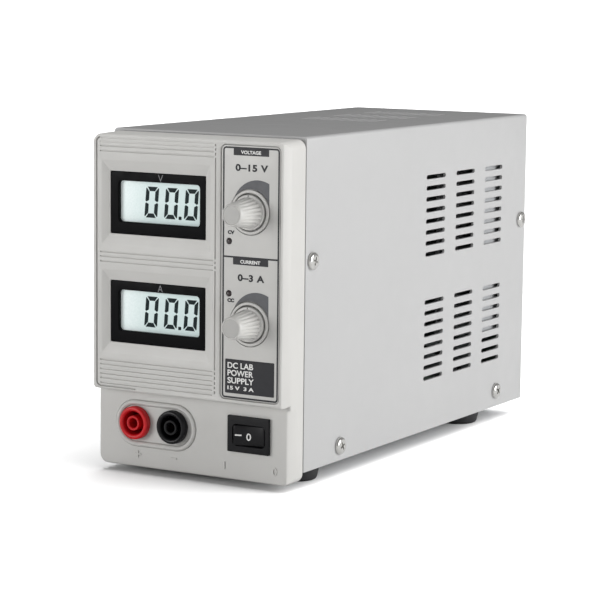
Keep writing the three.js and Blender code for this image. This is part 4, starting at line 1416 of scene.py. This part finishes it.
def drawer_piece():
    low, high = cad("fuse_drawer")
    fuse_low, fuse_high = cad("fuse")
    corners = (low.x, high.x, low.z, high.z)
    stations = [(low.y, 0.0), (high.y - 0.4, 0.0), (high.y - 0.1, 0.1), (high.y, 0.4)]
    rings = [at_y(rounded_corners(*corners, [0.6] * 4, inset, 4), y) for y, inset in stations]
    piece = loft("fuse_carrier_front", rings)
    grow = 0.25
    trough = box_solid("trough", (fuse_low.x - grow, fuse_low.y - grow, fuse_low.z - grow),
                       (fuse_high.x + grow, fuse_high.y + grow, high.z + 2))
    x, z = (low.x + high.x) / 2, (low.z + high.z) / 2
    nick = box_solid("nick", (x - 3.2, high.y - 1.4, high.z - 1.5), (x + 3.2, high.y + 1, high.z + 1))
    cut(piece, trough, nick)
    finish_piece(piece, INLET_BLACK, "fuse_carrier", ["fuse_drawer"])
    y, fuse_z = (fuse_low.y + fuse_high.y) / 2, (fuse_low.z + fuse_high.z) / 2
    length = fuse_high.x - fuse_low.x
    r, cap_length = 2.5, 5.5
    tube = [(0, 0.6), (r - 0.15, 0.6), (r - 0.15, length - 0.6), (0, length - 0.6)]
    glass = lathe("fuse_tube", tube, 0, 0, 32)
    caps = []
    for start in (0.0, length - cap_length):
        end = start + cap_length
        cap = [(0, start), (r - 0.2, start), (r, start + 0.2), (r, end - 0.1), (r - 0.1, end), (0, end)]
        caps.append(lathe("cap", cap, 0, 0, 32))
    along = Matrix.Translation((fuse_low.x, y, fuse_z)) @ Matrix.Rotation(-math.pi / 2, 4, "Z")
    ends = renamed(together(caps), "fuse_caps")
    for obj in (glass, ends):
        move(obj, along)
    finish_piece(glass, FUSE_GLASS, "fuse_carrier", ["fuse"])
    finish_piece(ends, NICKEL, "fuse_carrier")


inlet_housing()
inlet_pins()
drawer_piece()


# ------------------------------------------------------------------ CAD nodes that stay

KEPT = {
    "chassis_tray": ZINC,
    "transformer_strap": ZINC,
    "transformer_core": CORE,
    "transformer_winding": WINDING,
    "main_board": BOARD,
    "control_board": BOARD,
    "voltage_meter_board": BOARD,
    "current_meter_board": BOARD,
    "filter_capacitor": COMPONENT_BLACK,
    "bridge_rectifier": COMPONENT_BLACK,
    "pass_transistor": COMPONENT_BLACK,
    "heat_sink": ALUMINIUM,
    "voltage_control_shaft": ALUMINIUM,
    "current_control_shaft": ALUMINIUM,
    "voltage_potentiometer": ZINC,
    "current_potentiometer": ZINC,
    "voltage_potentiometer_nut": BRASS,
    "current_potentiometer_nut": BRASS,
    "positive_socket_nut": BLACK,
    "negative_socket_nut": BLACK,
    "output_wire_positive": RED,
    "output_wire_negative": BLACK,
    "mains_wire": BLACK,
}

for name, material in KEPT.items():
    materials = NODES[name].data.materials
    materials.clear()
    materials.append(material)


# ------------------------------------------------------------------ camera, floor and light

CAMERA_PLACE = Vector((0.5252, -0.9189, 0.2103))
CAMERA_YAW = math.radians(30.13)
CAMERA_PITCH = math.radians(7.852)
CAMERA_ROLL = math.radians(0.616)
LENS_MM = 138.77
WORLD_LEVEL = 0.38
WORLD_TILT = (0.08, 0.0, -0.12)
FLOOR_SEEN, FLOOR_BOUNCE = 0.9, 0.42   # how pale the floor is to the camera, and to the object
FLOOR_LIGHT = 5.2
FLOOR_LIGHT_FROM = (0.3, 0.42, 1)
BEZEL_LIGHT = 1.3
BEZEL_LIGHT_FROM = (0, -0.05, 1)
KEY_LIGHT = {"place": (1.75, 0.3, 0.55), "target": (0, 0, 0.07), "size": (1.3, 1.0), "watts": 31}
FRONT_LIGHT = {"place": (-1.1, -1.6, 0.4), "target": (0, -0.1, 0.07), "size": (1.0, 0.9), "watts": 18}


def camera():
    ahead = Vector((-math.sin(CAMERA_YAW) * math.cos(CAMERA_PITCH),
                    math.cos(CAMERA_YAW) * math.cos(CAMERA_PITCH), -math.sin(CAMERA_PITCH)))
    level = Vector((math.cos(CAMERA_YAW), math.sin(CAMERA_YAW), 0))
    up = level.cross(ahead)
    right = level * math.cos(CAMERA_ROLL) + up * math.sin(CAMERA_ROLL)
    above = up * math.cos(CAMERA_ROLL) - level * math.sin(CAMERA_ROLL)
    data = bpy.data.cameras.new("camera")
    data.sensor_width = 36
    data.lens = LENS_MM
    data.clip_end = 200
    obj = bpy.data.objects.new("camera", data)
    bpy.context.scene.collection.objects.link(obj)
    turn = Matrix((right, above, -ahead)).transposed().to_4x4()
    obj.matrix_world = Matrix.Translation(CAMERA_PLACE) @ turn
    bpy.context.scene.camera = obj


def floor():
    """A pale floor that reads as plain white where nothing shades it."""
    size = 60
    corners = [(-size, -size, 0), (size, -size, 0), (size, size, 0), (-size, size, 0)]
    obj = mesh_object("floor", corners, [(0, 1, 2, 3)])
    made = Surface("floor", (FLOOR_SEEN, FLOOR_SEEN, FLOOR_SEEN, 1), 0.9, specular=0.0)
    made.mottle(8, shade_of(made.colour, 0.98), 0.6)
    seen = made.node("ShaderNodeLightPath")
    mix = made.node("ShaderNodeMix", data_type="RGBA")
    mix.inputs["A"].default_value = (FLOOR_BOUNCE, FLOOR_BOUNCE, FLOOR_BOUNCE, 1)
    made.link(seen.outputs["Is Camera Ray"], mix.inputs["Factor"])
    made.link(made.shader.inputs["Base Color"].links[0].from_socket, mix.inputs["B"])
    made.link(mix.outputs["Result"], made.shader.inputs["Base Color"])
    obj.data.materials.append(made.material)
    return obj


def soft_sun(name, receiver, strength, comes_from, spread):
    """A wide soft light that falls on one object alone."""
    data = bpy.data.lights.new(name, "SUN")
    data.energy = strength
    data.angle = math.radians(spread)
    obj = bpy.data.objects.new(name, data)
    bpy.context.scene.collection.objects.link(obj)
    obj.matrix_world = Vector(comes_from).to_track_quat("Z", "Y").to_matrix().to_4x4()
    group = bpy.data.collections.new(name + "_receivers")
    group.objects.link(receiver)
    obj.light_linking.receiver_collection = group


def area_light(name, place, target, size, watts):
    data = bpy.data.lights.new(name, "AREA")
    data.shape = "RECTANGLE"
    data.size, data.size_y = size
    data.energy = watts
    obj = bpy.data.objects.new(name, data)
    bpy.context.scene.collection.objects.link(obj)
    look = (Vector(target) - Vector(place)).to_track_quat("-Z", "Y")
    obj.matrix_world = Matrix.Translation(place) @ look.to_matrix().to_4x4()


def world():
    """A white studio: bright low down and to the right, dimmer overhead and in front."""
    data = bpy.data.worlds.new("studio")
    bpy.context.scene.world = data
    data.use_nodes = True
    tree = data.node_tree
    place = tree.nodes.new("ShaderNodeTexCoord")
    toward = tree.nodes.new("ShaderNodeVectorMath")
    toward.operation = "DOT_PRODUCT"
    toward.inputs[1].default_value = WORLD_TILT
    total = tree.nodes.new("ShaderNodeMath")
    total.operation = "ADD"
    total.inputs[1].default_value = WORLD_LEVEL
    tree.links.new(place.outputs["Generated"], toward.inputs[0])
    tree.links.new(toward.outputs["Value"], total.inputs[0])
    tree.links.new(total.outputs[0], tree.nodes["Background"].inputs["Strength"])
    tree.nodes["Background"].inputs["Color"].default_value = (1, 1, 1, 1)


camera()
ground = floor()
world()
soft_sun("floor_light", ground, FLOOR_LIGHT, FLOOR_LIGHT_FROM, 80)
soft_sun("bezel_light", bezel, BEZEL_LIGHT, BEZEL_LIGHT_FROM, 20)
area_light("key", **KEY_LIGHT)
area_light("front", **FRONT_LIGHT)
bpy.context.scene.view_settings.view_transform = "Standard"
